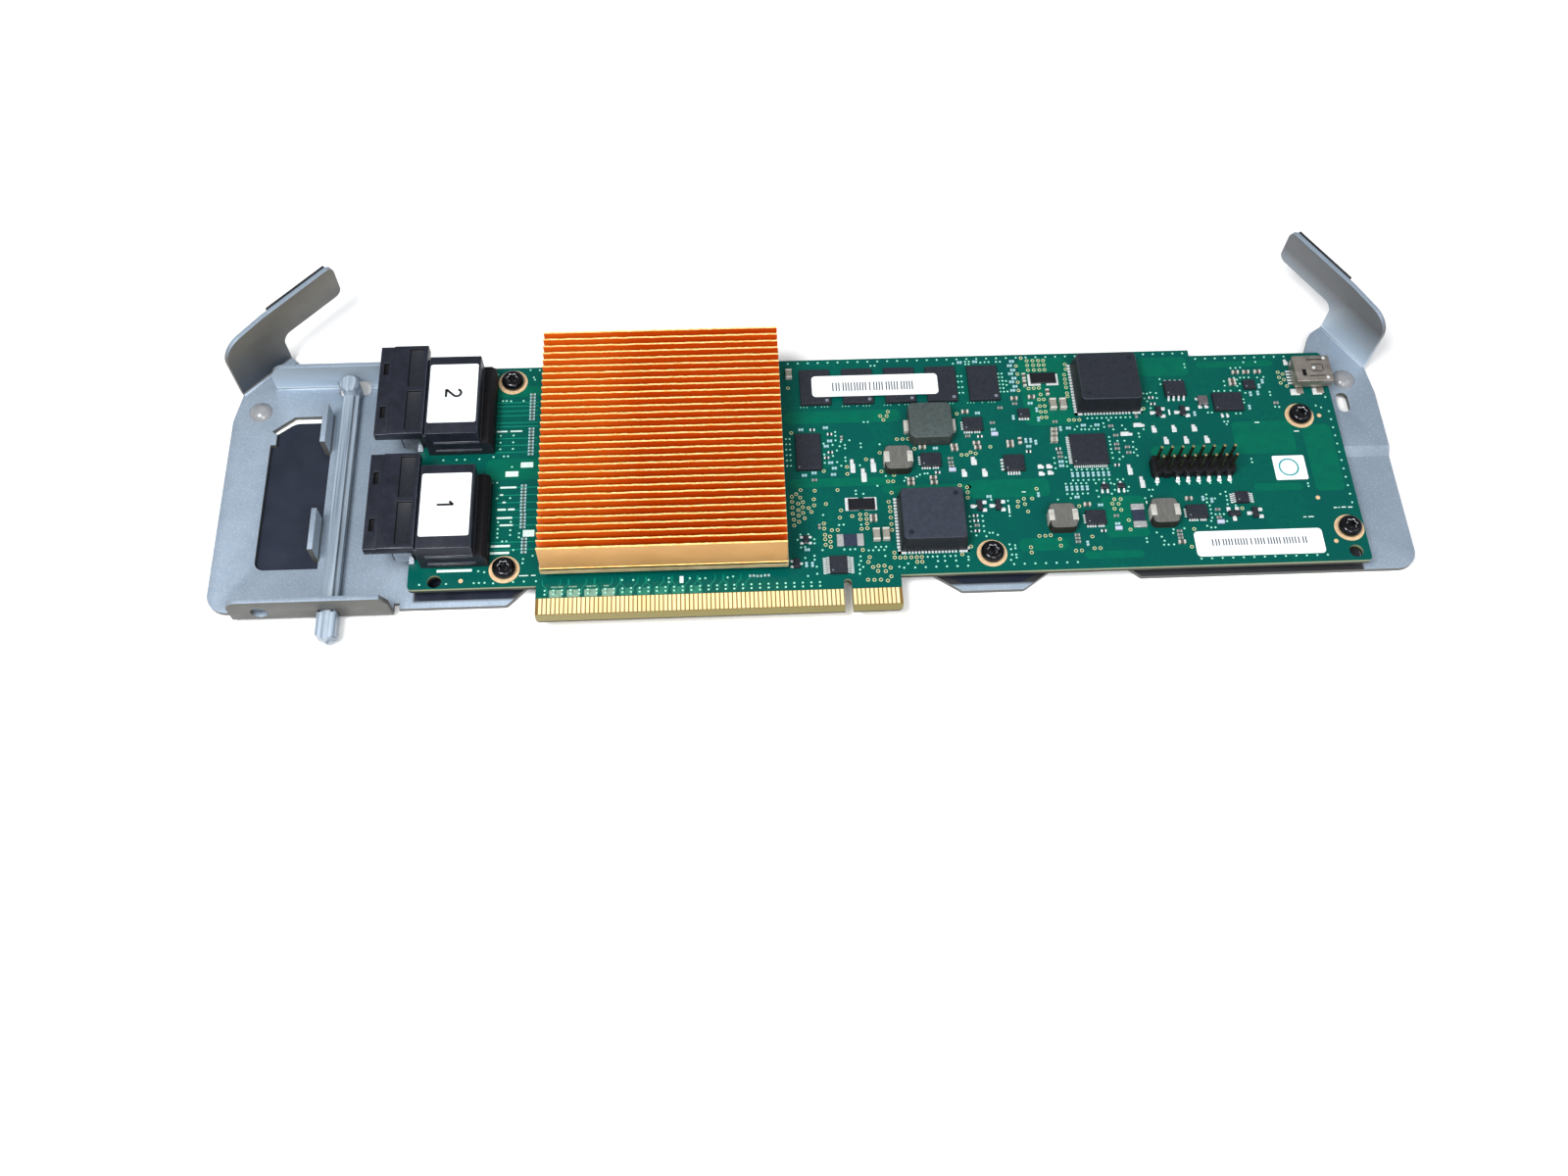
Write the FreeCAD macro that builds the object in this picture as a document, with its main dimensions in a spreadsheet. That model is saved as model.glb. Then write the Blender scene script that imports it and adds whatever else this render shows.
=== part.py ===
# Storage controller card on its folded steel carrier, in millimetres.
# X runs along the card, Y away from the edge connector, Z up from the component face.
# The origin lies on the board's component face, on the front edge, at the key notch.
import FreeCAD
import Part
import Sketcher
import math
import os

VECTOR = FreeCAD.Vector
FULL_TURN = 360
SIX = 6

# Driving sizes of the board and its edge connector
BOARD_SIZES = {
    "board_left": 102.4,
    "board_right": 124.8,
    "board_depth": 62.2,
    "board_thick": 1.57,
    "board_corner": 1.0,
    "back_step_from_right": 33.8,
    "back_step_depth": 1.8,
    "tab_left": 72.6,
    "tab_right": 12.6,
    "tab_depth": 8.9,
    "tab_corner": 1.2,
    "bevel_depth": 1.3,
    "bevel_drop": 0.4,
    "notch_width": 1.9,
    "notch_round": 0.9,
    "notch_end": 0.7,
    "finger_pitch": 1.0,
    "finger_width": 0.7,
    "finger_length": 4.1,
    "finger_thick": 0.06,
    "finger_back": 3.35,
    "finger_notch_gap": 1.5,
    "fingers_long": 71,
    "fingers_short": 11,
    "tooling_hole": 1.65,
    "tooling_inset_left": 6.2,
    "tooling_inset_right": 3.4,
    "tooling_y_left": 1.95,
    "tooling_y_right": 2.55,
}

# Screws and standoffs that hold the board above the carrier
FIXING_SIZES = {
    "screw_hole": 1.7,
    "screw_shaft": 1.4,
    "screw_head": 2.75,
    "screw_head_high": 2.1,
    "screw_tip_gap": 0.4,
    "thread_gap": 0.1,
    "thread_sides": 12,
    "standoff_high": 3.0,
    "standoff_corner": 3.1,
    "left_screw_inset": 22.3,
    "front_left_screw_y": 4.6,
    "back_left_screw_short": 4.4,
    "middle_screw_x": 34.6,
    "middle_screw_y": 4.95,
    "front_right_screw_inset": 3.75,
    "front_right_screw_y": 8.9,
    "back_right_screw_inset": 9.2,
    "back_right_screw_short": 20.9,
}

# Folded steel carrier
CARRIER_SIZES = {
    "plate_past_left": 47.6,
    "plate_past_right": 12.95,
    "plate_front": 0.1,
    "plate_inner_front": 3.0,
    "plate_short_of_back": 1.1,
    "plate_thick": 1.2,
    "plate_corner": 5.0,
    "bend_round": 0.8,
    "bend_overlap": 2.0,
    "tongue_front": 2.5,
    "tongue_round": 1.5,
    "left_tongue_gap": 2.5,
    "left_tongue_past_screw": 0.2,
    "left_tongue_flank": 5.4,
    "mid_tongue_before": 7.2,
    "mid_tongue_after": 7.5,
    "mid_tongue_flank": 7.8,
    "right_front_from": 70.5,
    "right_front_flank": 3.5,
    "joggle_from_right": 43.75,
    "joggle_slit": 2.0,
    "joggle_screw_gap": 9.7,
    "joggle_run": 2.2,
    "joggle_rise": 1.5,
    "raised_short_of_back": 2.2,
    "neck_in_x": 16.7,
    "neck_out_x": 13.05,
    "neck_out_y": 7.45,
    "plate_front_left": 2.1,
    "flange_notch": 1.0,
    "front_flange_y": 4.15,
    "front_flange_inset": 7.0,
    "flange_board_gap": 3.8,
    "front_flange_high": 8.4,
    "front_flange_round": 3.0,
    "front_flange_slope": 1.6,
    "flange_hole": 2.05,
    "flange_hole_inset": 14.0,
    "flange_hole_up": 3.5,
    "back_flange_inset": 9.8,
    "back_flange_high": 8.5,
    "back_flange_round": 4.0,
    "root_step": 3.6,
    "root_lean": 3.0,
    "left_ear_inset": 1.7,
    "left_ear_short": 1.55,
    "left_ear_angle": 45.6,
    "right_ear_inset": 1.11,
    "right_ear_short": 3.3,
    "right_ear_angle": 122.7,
    "ear_neck": 15.5,
    "ear_reach": 34.7,
    "ear_high": 18.7,
    "ear_arm_low": 8.6,
    "ear_shoulder": 1.3,
    "ear_shoulder_to": 13.0,
    "ear_outer_round": 6.0,
    "neck_round": 4.5,
    "ear_tip_round": 2.0,
    "ear_inner_round": 2.5,
    "ear_flare": 8.0,
    "window_inset": 10.05,
    "window_wide": 15.0,
    "window_front": 8.85,
    "window_short_of_back": 8.8,
    "window_round": 2.4,
    "window_chamfer_x": 5.2,
    "window_chamfer_y": 4.1,
    "window_lug_wide": 1.3,
    "window_lug_long": 3.0,
    "window_lug_short": 5.1,
    "hook_length": 11.2,
    "hook_high": 5.8,
    "hook_front_gap": 2.15,
    "hook_back_gap": 0.1,
    "slot_inset": 8.8,
    "slot_short_of_back": 14.1,
    "slot_half_width": 1.5,
    "slot_half_length": 2.9,
    "slot_round": 1.45,
    "relief_half_width": 4.0,
    "relief_deep": 2.7,
    "relief_round": 1.2,
    "relief_up": 2.2,
}

# Films, light pipe, bumpers and grip pads that the carrier holds
TRIM_SIZES = {
    "film_thick": 0.25,
    "film_left_gap": 1.1,
    "film_margin": 1.9,
    "film_inner_margin": 0.6,
    "film_joggle_gap": 4.0,
    "film_short_of_back": 8.7,
    "film_round": 1.5,
    "film_hole_gap": 0.4,
    "window_film_thick": 0.3,
    "window_film_margin": 4.0,
    "window_film_dip": 1.2,
    "pipe_window_gap": 4.35,
    "pipe_width": 3.8,
    "pipe_low": 2.4,
    "pipe_high": 3.6,
    "pipe_rib": 1.7,
    "pipe_gap": 0.3,
    "pipe_head": 2.4,
    "pipe_head_inset": 2.7,
    "pipe_head_high": 6.1,
    "pipe_head_bevel": 0.6,
    "pipe_foot_width": 4.5,
    "pipe_foot_length": 5.7,
    "pipe_foot_point": 1.2,
    "bumper_round": 2.9,
    "bumper_top": 1.7,
    "bumper_high": 1.6,
    "left_bumper_inset": 6.6,
    "bumper_short_of_back": 7.1,
    "right_bumper_inset": 7.15,
    "grip_thick": 0.9,
    "grip_deep": 9.0,
    "grip_from": 15.2,
    "grip_to": 33.4,
}

# Heat sink with the chip below it
SINK_SIZES = {
    "chip_wide": 33.0,
    "chip_substrate": 1.2,
    "chip_lid": 1.1,
    "chip_lid_inset": 2.5,
    "pad_thick": 0.3,
    "pad_inset": 2.0,
    "sink_left": 71.3,
    "sink_width": 57.6,
    "sink_front": 1.6,
    "sink_base": 2.6,
    "fin_count": 31,
    "fin_pitch": 2.0,
    "fin_thick": 0.4,
    "fin_high": 9.2,
    "fin_front_gap": 0.15,
    "fin_side_gap": 0.4,
}

# Data ports at the left edge, each a double receptacle
PORT_SIZES = {
    "port_overhang": 8.7,
    "port_1_y": 5.9,
    "port_pitch": 31.2,
    "port_high": 9.5,
    "roof_length": 11.6,
    "roof_width": 25.7,
    "roof_thick": 2.7,
    "mouth_setback": 5.2,
    "jaw_inset": 2.0,
    "mouth_wall": 1.0,
    "mouth_width": 9.35,
    "mouth_floor": 0.8,
    "mouth_high": 5.5,
    "roof_strip": 3.3,
    "roof_strip_drop": 0.3,
    "latch_slot_x": 1.1,
    "latch_slot_wide": 1.1,
    "latch_slot_long": 3.3,
    "latch_slot_deep": 1.2,
    "latch_slot_y": 4.9,
    "latch_slot_pitch": 12.6,
    "roof_recess_x": 7.2,
    "roof_recess_wide": 3.4,
    "roof_recess_long": 11.0,
    "roof_recess_y": 1.3,
    "roof_recess_pitch": 12.4,
    "roof_recess_deep": 0.6,
    "housing_groove": 0.6,
    "housing_groove_deep": 1.0,
    "housing_length": 13.0,
    "housing_width": 22.4,
    "housing_side": 0.3,
    "housing_toe": 2.8,
    "housing_toe_high": 5.0,
    "housing_chamfer": 1.0,
    "rib_proud": 0.45,
    "rib_high": 0.8,
    "rib_low": 1.6,
    "rib_pitch": 3.4,
    "rib_count": 2,
    "rib_from": 2.0,
    "blade_long": 4.4,
    "blade_thick": 1.0,
    "blade_side_gap": 1.0,
    "contact_count": 4,
    "contact_pitch": 1.6,
    "contact_width": 0.7,
    "contact_thick": 0.12,
    "contact_long": 3.4,
    "clip_from": 5.8,
    "clip_long": 4.2,
    "clip_high": 6.4,
    "clip_thick": 0.4,
    "clip_foot_long": 1.2,
    "clip_foot_out": 0.9,
}

# Header and service socket
SOCKET_SIZES = {
    "header_x": 85.86,
    "header_y": 26.75,
    "header_pitch": 2.54,
    "header_columns": 8,
    "header_high": 2.5,
    "header_notch": 0.5,
    "pin_wide": 0.64,
    "pin_high": 8.4,
    "pin_tail": 1.0,
    "pin_gap": 0.02,
    "socket_length": 9.2,
    "socket_width": 7.7,
    "socket_high": 3.9,
    "socket_short_of_back": 9.35,
    "socket_overhang": 0.0,
    "socket_wall": 0.35,
    "socket_corner": 1.3,
    "socket_back_wall": 0.4,
    "tongue_long": 6.4,
    "tongue_wide": 4.6,
    "tongue_thick": 0.9,
    "tongue_up": 1.5,
    "tab_wide": 1.8,
    "tab_out": 1.2,
    "tab_thick": 0.3,
    "tab_inset": 0.7,
    "tab_pitch": 5.2,
}

# Moulded chips: centre x, centre y, width, depth, height
CHIPS = {
    "flash_chip": (-7.4, 34.4, 6.2, 10.4, 1.0),
    "logic_chip": (61.4, 32.6, 9.0, 9.2, 1.0),
    "regulator_chip_1": (33.6, 40.9, 4.9, 4.5, 0.9),
    "regulator_chip_2": (22.3, 30.8, 5.1, 4.6, 0.9),
    "regulator_chip_3": (42.6, 29.3, 5.1, 5.1, 0.9),
    "regulator_chip_4": (60.4, 13.3, 4.9, 4.4, 0.9),
    "regulator_chip_5": (85.0, 14.0, 5.1, 4.4, 0.9),
    "sensor_chip_1": (46.6, 43.8, 3.1, 3.1, 0.8),
    "sensor_chip_2": (104.6, 50.8, 3.0, 2.7, 0.8),
    "boot_chip": (85.4, 49.8, 5.2, 4.6, 1.4),
    "small_memory_chip": (98.2, 45.7, 7.4, 5.2, 1.0),
    "buffer_chip_1": (-1.9, 2.85, 4.2, 4.6, 1.0),
    "buffer_chip_2": (96.6, 17.9, 3.2, 3.0, 1.0),
}

# Drafted power modules: centre x and centre y
POWER_MODULES = {
    "power_module_1": (21.0, 13.5),
    "power_module_2": (68.1, 51.3),
}

# Eight-sided inductors: centre x and centre y
SMALL_INDUCTORS = {
    "small_inductor_1": (14.2, 30.9),
    "small_inductor_2": (52.2, 13.2),
    "small_inductor_3": (76.8, 13.8),
}

# Flat resistors: centre x, centre y, width, depth
RESISTORS = {
    "resistor_1": (4.6, 19.3, 6.4, 3.2),
    "resistor_2": (52.8, 54.1, 6.4, 3.2),
    "resistor_3": (1.3, 9.5, 6.4, 3.2),
    "resistor_4": (70.9, 13.8, 3.2, 6.4),
}

# Ceramic capacitors: centre x, centre y, width, depth
CAPACITORS = {
    "capacitor_1": (7.6, 10.6, 1.7, 3.2),
    "capacitor_2": (9.9, 10.7, 1.7, 3.2),
    "capacitor_3": (54.3, 46.4, 1.7, 3.0),
    "capacitor_4": (56.8, 46.4, 1.7, 3.0),
    "capacitor_5": (53.5, 38.7, 1.6, 0.9),
    "capacitor_6": (53.4, 37.4, 1.6, 0.9),
    "capacitor_7": (53.2, 35.8, 1.7, 1.4),
    "capacitor_8": (-11.2, 57.6, 1.6, 2.6),
}

# Paper labels: centre x, centre y, width, depth
LABEL_SIZES = {
    "memory_label_wide": 31.6,
    "memory_label_deep": 6.2,
    "memory_label_x": 10.2,
    "board_label_wide": 31.2,
    "board_label_deep": 7.4,
    "board_label_inset": 10.6,
    "board_label_y": 5.95,
    "square_label_wide": 8.3,
    "square_label_deep": 7.3,
    "square_label_x": 110.2,
    "square_label_y": 26.2,
    "port_label_long": 11.6,
    "port_label_wide": 16.9,
    "port_label_from": 2.8,
    "port_label_gap": 0.3,
    "label_thick": 0.12,
    "label_round": 1.2,
}

# Sizes that repeated pieces share, and the board on which the places in the tables were measured
SHARED_SIZES = {
    "layout_right": 124.8,
    "layout_depth": 62.2,
    "memory_x": -4.5,
    "memory_y": 53.3,
    "memory_pitch": 10.4,
    "memory_count": 5,
    "memory_wide": 8.6,
    "memory_deep": 11.4,
    "memory_high": 1.0,
    "module_wide": 16.0,
    "module_deep": 15.0,
    "module_high": 5.4,
    "module_draft": 6.0,
    "inductor_wide": 6.5,
    "inductor_deep": 6.8,
    "inductor_high": 2.8,
    "inductor_cut": 1.7,
    "inductor_cap_deep": 3.0,
    "inductor_cap_reach": 1.1,
    "inductor_cap_thick": 0.25,
    "coil_x": 22.8,
    "coil_y": 40.6,
    "coil_wide": 10.6,
    "coil_deep": 10.2,
    "coil_high": 4.0,
    "coil_cut": 1.0,
    "coil_foot_deep": 3.2,
    "coil_foot_out": 1.1,
    "coil_foot_thick": 1.6,
    "resistor_high": 0.6,
    "capacitor_high": 1.3,
    "crystal_x": 92.0,
    "crystal_y": 46.1,
    "crystal_wide": 2.6,
    "crystal_deep": 3.3,
    "crystal_high": 0.8,
    "chip_draft": 4.0,
}


class Size:
    """A length known both as a number and as an expression on the sheet."""

    def __init__(self, number, text):
        self.number = number
        self.text = text

    def __add__(self, other):
        other = as_size(other)
        return Size(self.number + other.number, f"({self.text} + {other.text})")

    def __sub__(self, other):
        other = as_size(other)
        return Size(self.number - other.number, f"({self.text} - {other.text})")

    def __mul__(self, other):
        other = as_size(other)
        return Size(self.number * other.number, f"({self.text} * {other.text})")

    def __truediv__(self, other):
        other = as_size(other)
        return Size(self.number / other.number, f"({self.text} / {other.text})")

    def __neg__(self):
        return Size(-self.number, f"(0 - {self.text})")

    def __radd__(self, other):
        return as_size(other) + self

    def __rsub__(self, other):
        return as_size(other) - self

    def __rmul__(self, other):
        return as_size(other) * self


def as_size(value):
    """The value itself if it is a Size, or a constant Size for a plain number."""
    return value if isinstance(value, Size) else Size(float(value), f"({float(value)})")


def cosine(angle):
    return Size(math.cos(math.radians(angle.number)), f"cos({angle.text})")


def sine(angle):
    return Size(math.sin(math.radians(angle.number)), f"sin({angle.text})")


class SizeSheet:
    """The spreadsheet of driving sizes, read as attributes."""

    def __init__(self, document):
        self._sheet = document.addObject("Spreadsheet::Sheet", "Sizes")
        self._rows = 0

    def add(self, alias, number):
        self._rows += 1
        self._sheet.set(f"A{self._rows}", alias)
        self._sheet.set(f"B{self._rows}", str(number))
        self._sheet.setAlias(f"B{self._rows}", alias)
        setattr(self, alias, Size(float(number), f"Sizes.{alias}"))

    def get(self, alias):
        return getattr(self, alias)


doc = FreeCAD.newDocument("controller_card")
s = SizeSheet(doc)
PLAIN_GROUPS = (BOARD_SIZES, FIXING_SIZES, CARRIER_SIZES, TRIM_SIZES, SINK_SIZES, PORT_SIZES,
                SOCKET_SIZES, LABEL_SIZES, SHARED_SIZES)
for group in PLAIN_GROUPS:
    for alias, number in group.items():
        s.add(alias, number)
FIELDS = ("x", "y", "wide", "deep", "high")
for group in (CHIPS, POWER_MODULES, SMALL_INDUCTORS, RESISTORS, CAPACITORS):
    for piece, numbers in group.items():
        for field, number in zip(FIELDS, numbers):
            s.add(f"{piece}_{field}", number)
doc.recompute()

nodes = {}

# Levels and places that several pieces share
plate_left = s.board_left + s.plate_past_left
plate_right = s.board_right + s.plate_past_right
plate_back = s.board_depth - s.plate_short_of_back
plate_top = -(s.board_thick + s.standoff_high)
plate_bottom = plate_top - s.plate_thick
raised_top = plate_top + s.joggle_rise
board_under = -s.board_thick
back_left_screw_y = s.board_depth - s.back_left_screw_short
back_right_screw_y = s.board_depth - s.back_right_screw_short
screw_places = [
    (s.left_screw_inset - s.board_left, s.front_left_screw_y, plate_top),
    (s.left_screw_inset - s.board_left, back_left_screw_y, plate_top),
    (s.middle_screw_x, s.middle_screw_y, plate_top),
    (s.board_right - s.front_right_screw_inset, s.front_right_screw_y, plate_top),
    (s.board_right - s.back_right_screw_inset, back_right_screw_y, raised_top),
]
joggle_left = plate_right - s.joggle_from_right
joggle_front = back_right_screw_y - s.joggle_screw_gap
joggle_back = joggle_front + s.joggle_run
raised_back = s.board_depth - s.raised_short_of_back
left_tongue_from = s.board_left + s.left_tongue_gap
left_tongue_to = s.board_left - s.left_screw_inset - s.left_tongue_past_screw
mid_tongue_from = s.middle_screw_x - s.mid_tongue_before
mid_tongue_to = s.middle_screw_x + s.mid_tongue_after
front_flange_from = plate_left - s.front_flange_inset
back_flange_from = plate_left - s.back_flange_inset
flanges_to = s.board_left + s.flange_board_gap
left_ear_x = plate_left - s.left_ear_inset
left_ear_y = plate_back - s.left_ear_short
right_ear_x = plate_right - s.right_ear_inset
right_ear_y = plate_back - s.right_ear_short
window_left = plate_left - s.window_inset
window_right = window_left - s.window_wide
window_back = plate_back - s.window_short_of_back
window_lug_to = window_back - s.window_lug_short
window_lug_from = window_lug_to - s.window_lug_long
pipe_x = window_right - s.pipe_window_gap
pipe_head_y = plate_back - s.pipe_head_inset
sink_bottom = s.chip_substrate + s.chip_lid + s.pad_thick
sink_depth = s.fin_pitch * (s.fin_count - 1) + s.fin_thick + s.fin_front_gap * 2
port_x = -s.board_left - s.port_overhang
layout_x = s.board_right / s.layout_right
layout_y = s.board_depth / s.layout_depth


def keep(label, piece):
    """Gives the piece the name of its node and lists it for writing."""
    piece.Label = label
    nodes[label] = piece
    return piece


def bind(piece, prop, size):
    """Ties one property of the piece to an expression on the sheet."""
    piece.setExpression(prop, as_size(size).text)


def origin_feature(body, role):
    return [part for part in body.Origin.OriginFeatures if part.Role == role][0]


def new_body(label):
    return keep(label, doc.addObject("PartDesign::Body", label))


def corner_points(corners):
    """Numbers of each corner with its tangent points and rounding."""
    plain = [(as_size(c[0]).number, as_size(c[1]).number) for c in corners]
    rows = []
    for i, corner in enumerate(corners):
        here = VECTOR(*plain[i], 0)
        came = (here - VECTOR(*plain[i - 1], 0)).normalize()
        goes = (VECTOR(*plain[(i + 1) % len(plain)], 0) - here).normalize()
        radius = as_size(corner[2]).number if len(corner) > 2 else 0.0
        turn = math.atan2(came.x * goes.y - came.y * goes.x, came.dot(goes))
        reach = radius * math.tan(abs(turn) / 2)
        rows.append((here, here - came * reach, here + goes * reach, radius, turn, came))
    return rows


def add_loop(sketch, corners, constraints, bound):
    """Adds one closed outline; a corner is (x, y) or (x, y, rounding radius)."""
    rows = corner_points(corners)
    count = len(rows)
    lines = [sketch.addGeometry(Part.LineSegment(rows[i][2], rows[(i + 1) % count][1]), False)
             for i in range(count)]

    def fix(geometry, position, corner):
        for kind, value in (("DistanceX", corner[0]), ("DistanceY", corner[1])):
            size = as_size(value)
            bound.append((len(constraints), size))
            constraints.append(Sketcher.Constraint(kind, -1, 1, geometry, position, size.number))

    for i, (here, start, end, radius, turn, came) in enumerate(rows):
        line_in, line_out = lines[i - 1], lines[i]
        if radius == 0.0:
            constraints.append(Sketcher.Constraint("Coincident", line_in, 2, line_out, 1))
            fix(line_out, 1, corners[i])
            continue
        left = turn > 0
        normal = VECTOR(-came.y, came.x, 0) if left else VECTOR(came.y, -came.x, 0)
        centre = start + normal * radius
        first, last = (start, end) if left else (end, start)
        angles = [math.atan2(p.y - centre.y, p.x - centre.x) for p in (first, last)]
        circle = Part.Circle(centre, VECTOR(0, 0, 1), radius)
        arc = sketch.addGeometry(Part.ArcOfCircle(circle, angles[0], angles[1]), False)
        point = sketch.addGeometry(Part.Point(here), True)
        fix(point, 1, corners[i])
        constraints.append(Sketcher.Constraint("PointOnObject", point, 1, line_in))
        constraints.append(Sketcher.Constraint("PointOnObject", point, 1, line_out))
        constraints.append(Sketcher.Constraint("Tangent", line_in, 2, arc, 1 if left else 2))
        constraints.append(Sketcher.Constraint("Tangent", arc, 2 if left else 1, line_out, 1))
        bound.append((len(constraints), as_size(corners[i][2])))
        constraints.append(Sketcher.Constraint("Radius", arc, radius))


def add_circle(sketch, x, y, radius, constraints, bound):
    """Adds one circle with its centre and radius tied to the sheet."""
    x, y, radius = as_size(x), as_size(y), as_size(radius)
    circle = Part.Circle(VECTOR(x.number, y.number, 0), VECTOR(0, 0, 1), radius.number)
    index = sketch.addGeometry(circle, False)
    for kind, size in (("DistanceX", x), ("DistanceY", y)):
        bound.append((len(constraints), size))
        constraints.append(Sketcher.Constraint(kind, -1, 1, index, 3, size.number))
    bound.append((len(constraints), radius))
    constraints.append(Sketcher.Constraint("Radius", index, radius.number))


def draw(body, name, loops=(), circles=(), plane="XY_Plane", at=(0, 0, 0), turn=None):
    """A sketch on one of the body's planes, shifted by at and turned about the plane's own y axis."""
    sketch = body.newObject("Sketcher::SketchObject", name)
    sketch.AttachmentSupport = [(origin_feature(body, plane), "")]
    sketch.MapMode = "FlatFace"
    shift = [as_size(value) for value in at]
    rotation = FreeCAD.Rotation(VECTOR(0, 1, 0), turn.number if turn else 0.0)
    sketch.AttachmentOffset = FreeCAD.Placement(VECTOR(*[v.number for v in shift]), rotation)
    for axis, value in zip("xyz", shift):
        bind(sketch, f"AttachmentOffset.Base.{axis}", value)
    if turn:
        bind(sketch, "AttachmentOffset.Rotation.Angle", turn)
    constraints, bound = [], []
    for corners in loops:
        add_loop(sketch, corners, constraints, bound)
    for x, y, radius in circles:
        add_circle(sketch, x, y, radius, constraints, bound)
    sketch.addConstraint(constraints)
    for index, size in bound:
        bind(sketch, f"Constraints[{index}]", size)
    return sketch


def pad(body, sketch, length, reverse=False, draft=None):
    """Adds the sketch's area as a solid of the given length."""
    feature = body.newObject("PartDesign::Pad", sketch.Name + "_pad")
    feature.Profile = sketch
    feature.Reversed = reverse
    bind(feature, "Length", length)
    if draft is not None:
        bind(feature, "TaperAngle", -draft)
    return feature


def pocket(body, sketch, length, reverse=False):
    """Cuts the sketch's area to the given depth, against the sketch's normal."""
    doc.recompute()
    before = body.Shape.Volume
    feature = body.newObject("PartDesign::Pocket", sketch.Name + "_cut")
    feature.Profile = sketch
    feature.Reversed = reverse
    bind(feature, "Length", length)
    doc.recompute()
    if not body.Shape.Volume < before:
        raise RuntimeError(f"{sketch.Name} cuts nothing")
    return feature


def row_pattern(body, original, axis, step, count):
    """Repeats a feature along one of the body's axes."""
    pattern = body.newObject("PartDesign::LinearPattern", original.Name + "_row")
    pattern.Originals = [original]
    pattern.Direction = (origin_feature(body, axis), [""])
    bind(pattern, "Length", step * (count - 1))
    bind(pattern, "Occurrences", count)
    body.Tip = pattern
    return pattern


def rectangle(x0, y0, x1, y1, radius=None):
    """Corners of an upright rectangle, rounded if a radius is given."""
    tail = () if radius is None else (radius,)
    return [(x0, y0) + tail, (x1, y0) + tail, (x1, y1) + tail, (x0, y1) + tail]


def centred(width, depth, radius=None):
    return rectangle(-width / 2, -depth / 2, width / 2, depth / 2, radius)


def cut_corners(width, depth, cut):
    """Corners of a centred rectangle with its corners cut off."""
    half_x, half_y = width / 2, depth / 2
    return [
        (cut - half_x, -half_y),
        (half_x - cut, -half_y),
        (half_x, cut - half_y),
        (half_x, half_y - cut),
        (half_x - cut, half_y),
        (cut - half_x, half_y),
        (-half_x, half_y - cut),
        (-half_x, cut - half_y),
    ]


def six_sides(x, y, corner):
    """Corners of a regular hexagon round a centre."""
    turns = [as_size(FULL_TURN * i / SIX) for i in range(SIX)]
    return [(x + cosine(turn) * corner, y + sine(turn) * corner) for turn in turns]


def move(piece, x, y, z):
    """Ties the piece's place to the sheet."""
    for axis, value in zip("xyz", (x, y, z)):
        bind(piece, f"Placement.Base.{axis}", value)


def block(name, x0, y0, z0, length, width, height):
    """A box primitive between sheet sizes."""
    piece = doc.addObject("Part::Box", name)
    bind(piece, "Length", length)
    bind(piece, "Width", width)
    bind(piece, "Height", height)
    move(piece, x0, y0, z0)
    return piece


def group_of(label, pieces):
    """Several separate pieces kept in one node."""
    doc.recompute()
    group = doc.addObject("Part::Compound", label)
    group.Links = pieces
    return keep(label, group)


def keep_solids(label, solids):
    """A node made of finished solids that lie side by side."""
    piece = doc.addObject("Part::Feature", label)
    piece.Shape = Part.makeCompound(solids)
    return keep(label, piece)


def make_board():
    """The circuit board with its edge tab, key notch, bevel and holes."""
    body = new_body("circuit_board")
    half_notch = s.notch_width / 2
    tab_front = -s.tab_depth
    step_x = s.board_right - s.back_step_from_right
    step_y = s.board_depth - s.back_step_depth
    outline = [
        (-s.board_left, 0, s.board_corner),
        (-s.tab_left, 0),
        (-s.tab_left, tab_front, s.tab_corner),
        (-half_notch, tab_front),
        (-half_notch, -s.notch_end, s.notch_round),
        (half_notch, -s.notch_end, s.notch_round),
        (half_notch, tab_front),
        (s.tab_right, tab_front, s.tab_corner),
        (s.tab_right, 0),
        (s.board_right, 0, s.board_corner),
        (s.board_right, step_y, s.board_corner),
        (step_x, step_y),
        (step_x, s.board_depth),
        (-s.board_left, s.board_depth, s.board_corner),
    ]
    holes = [(x, y, s.screw_hole) for x, y, level in screw_places]
    holes.append((s.tooling_inset_left - s.board_left, s.tooling_y_left, s.tooling_hole))
    holes.append((s.board_right - s.tooling_inset_right, s.tooling_y_right, s.tooling_hole))
    sketch = draw(body, "board_outline", [outline], holes)
    pad(body, sketch, s.board_thick, reverse=True)
    bevel_back = s.bevel_depth - s.tab_depth
    bevels = [
        [(tab_front, 0), (bevel_back, 0), (tab_front, -s.bevel_drop)],
        [(tab_front, board_under), (tab_front, board_under + s.bevel_drop), (bevel_back, board_under)],
    ]
    for index, corners in enumerate(bevels):
        sketch = draw(body, f"bevel_{index}", [corners], plane="YZ_Plane", at=(0, 0, s.tab_right))
        pocket(body, sketch, s.tab_left + s.tab_right)


def make_fingers():
    """Plated contacts on both faces of the edge tab."""
    pitch = s.finger_pitch.number
    short_start = s.finger_notch_gap.number
    long_start = -short_start - pitch * (s.fingers_long.number - 1)
    rows = [(long_start, int(s.fingers_long.number)), (short_start, int(s.fingers_short.number))]
    front = -(s.finger_back + s.finger_length).number
    solids = []
    for level in (0.0, (board_under - s.finger_thick).number):
        for start, count in rows:
            for i in range(count):
                corner = VECTOR(start + i * pitch - s.finger_width.number / 2, front, level)
                solids.append(Part.makeBox(s.finger_width.number, s.finger_length.number,
                                           s.finger_thick.number, corner))
    keep_solids("contact_fingers", solids)


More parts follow.
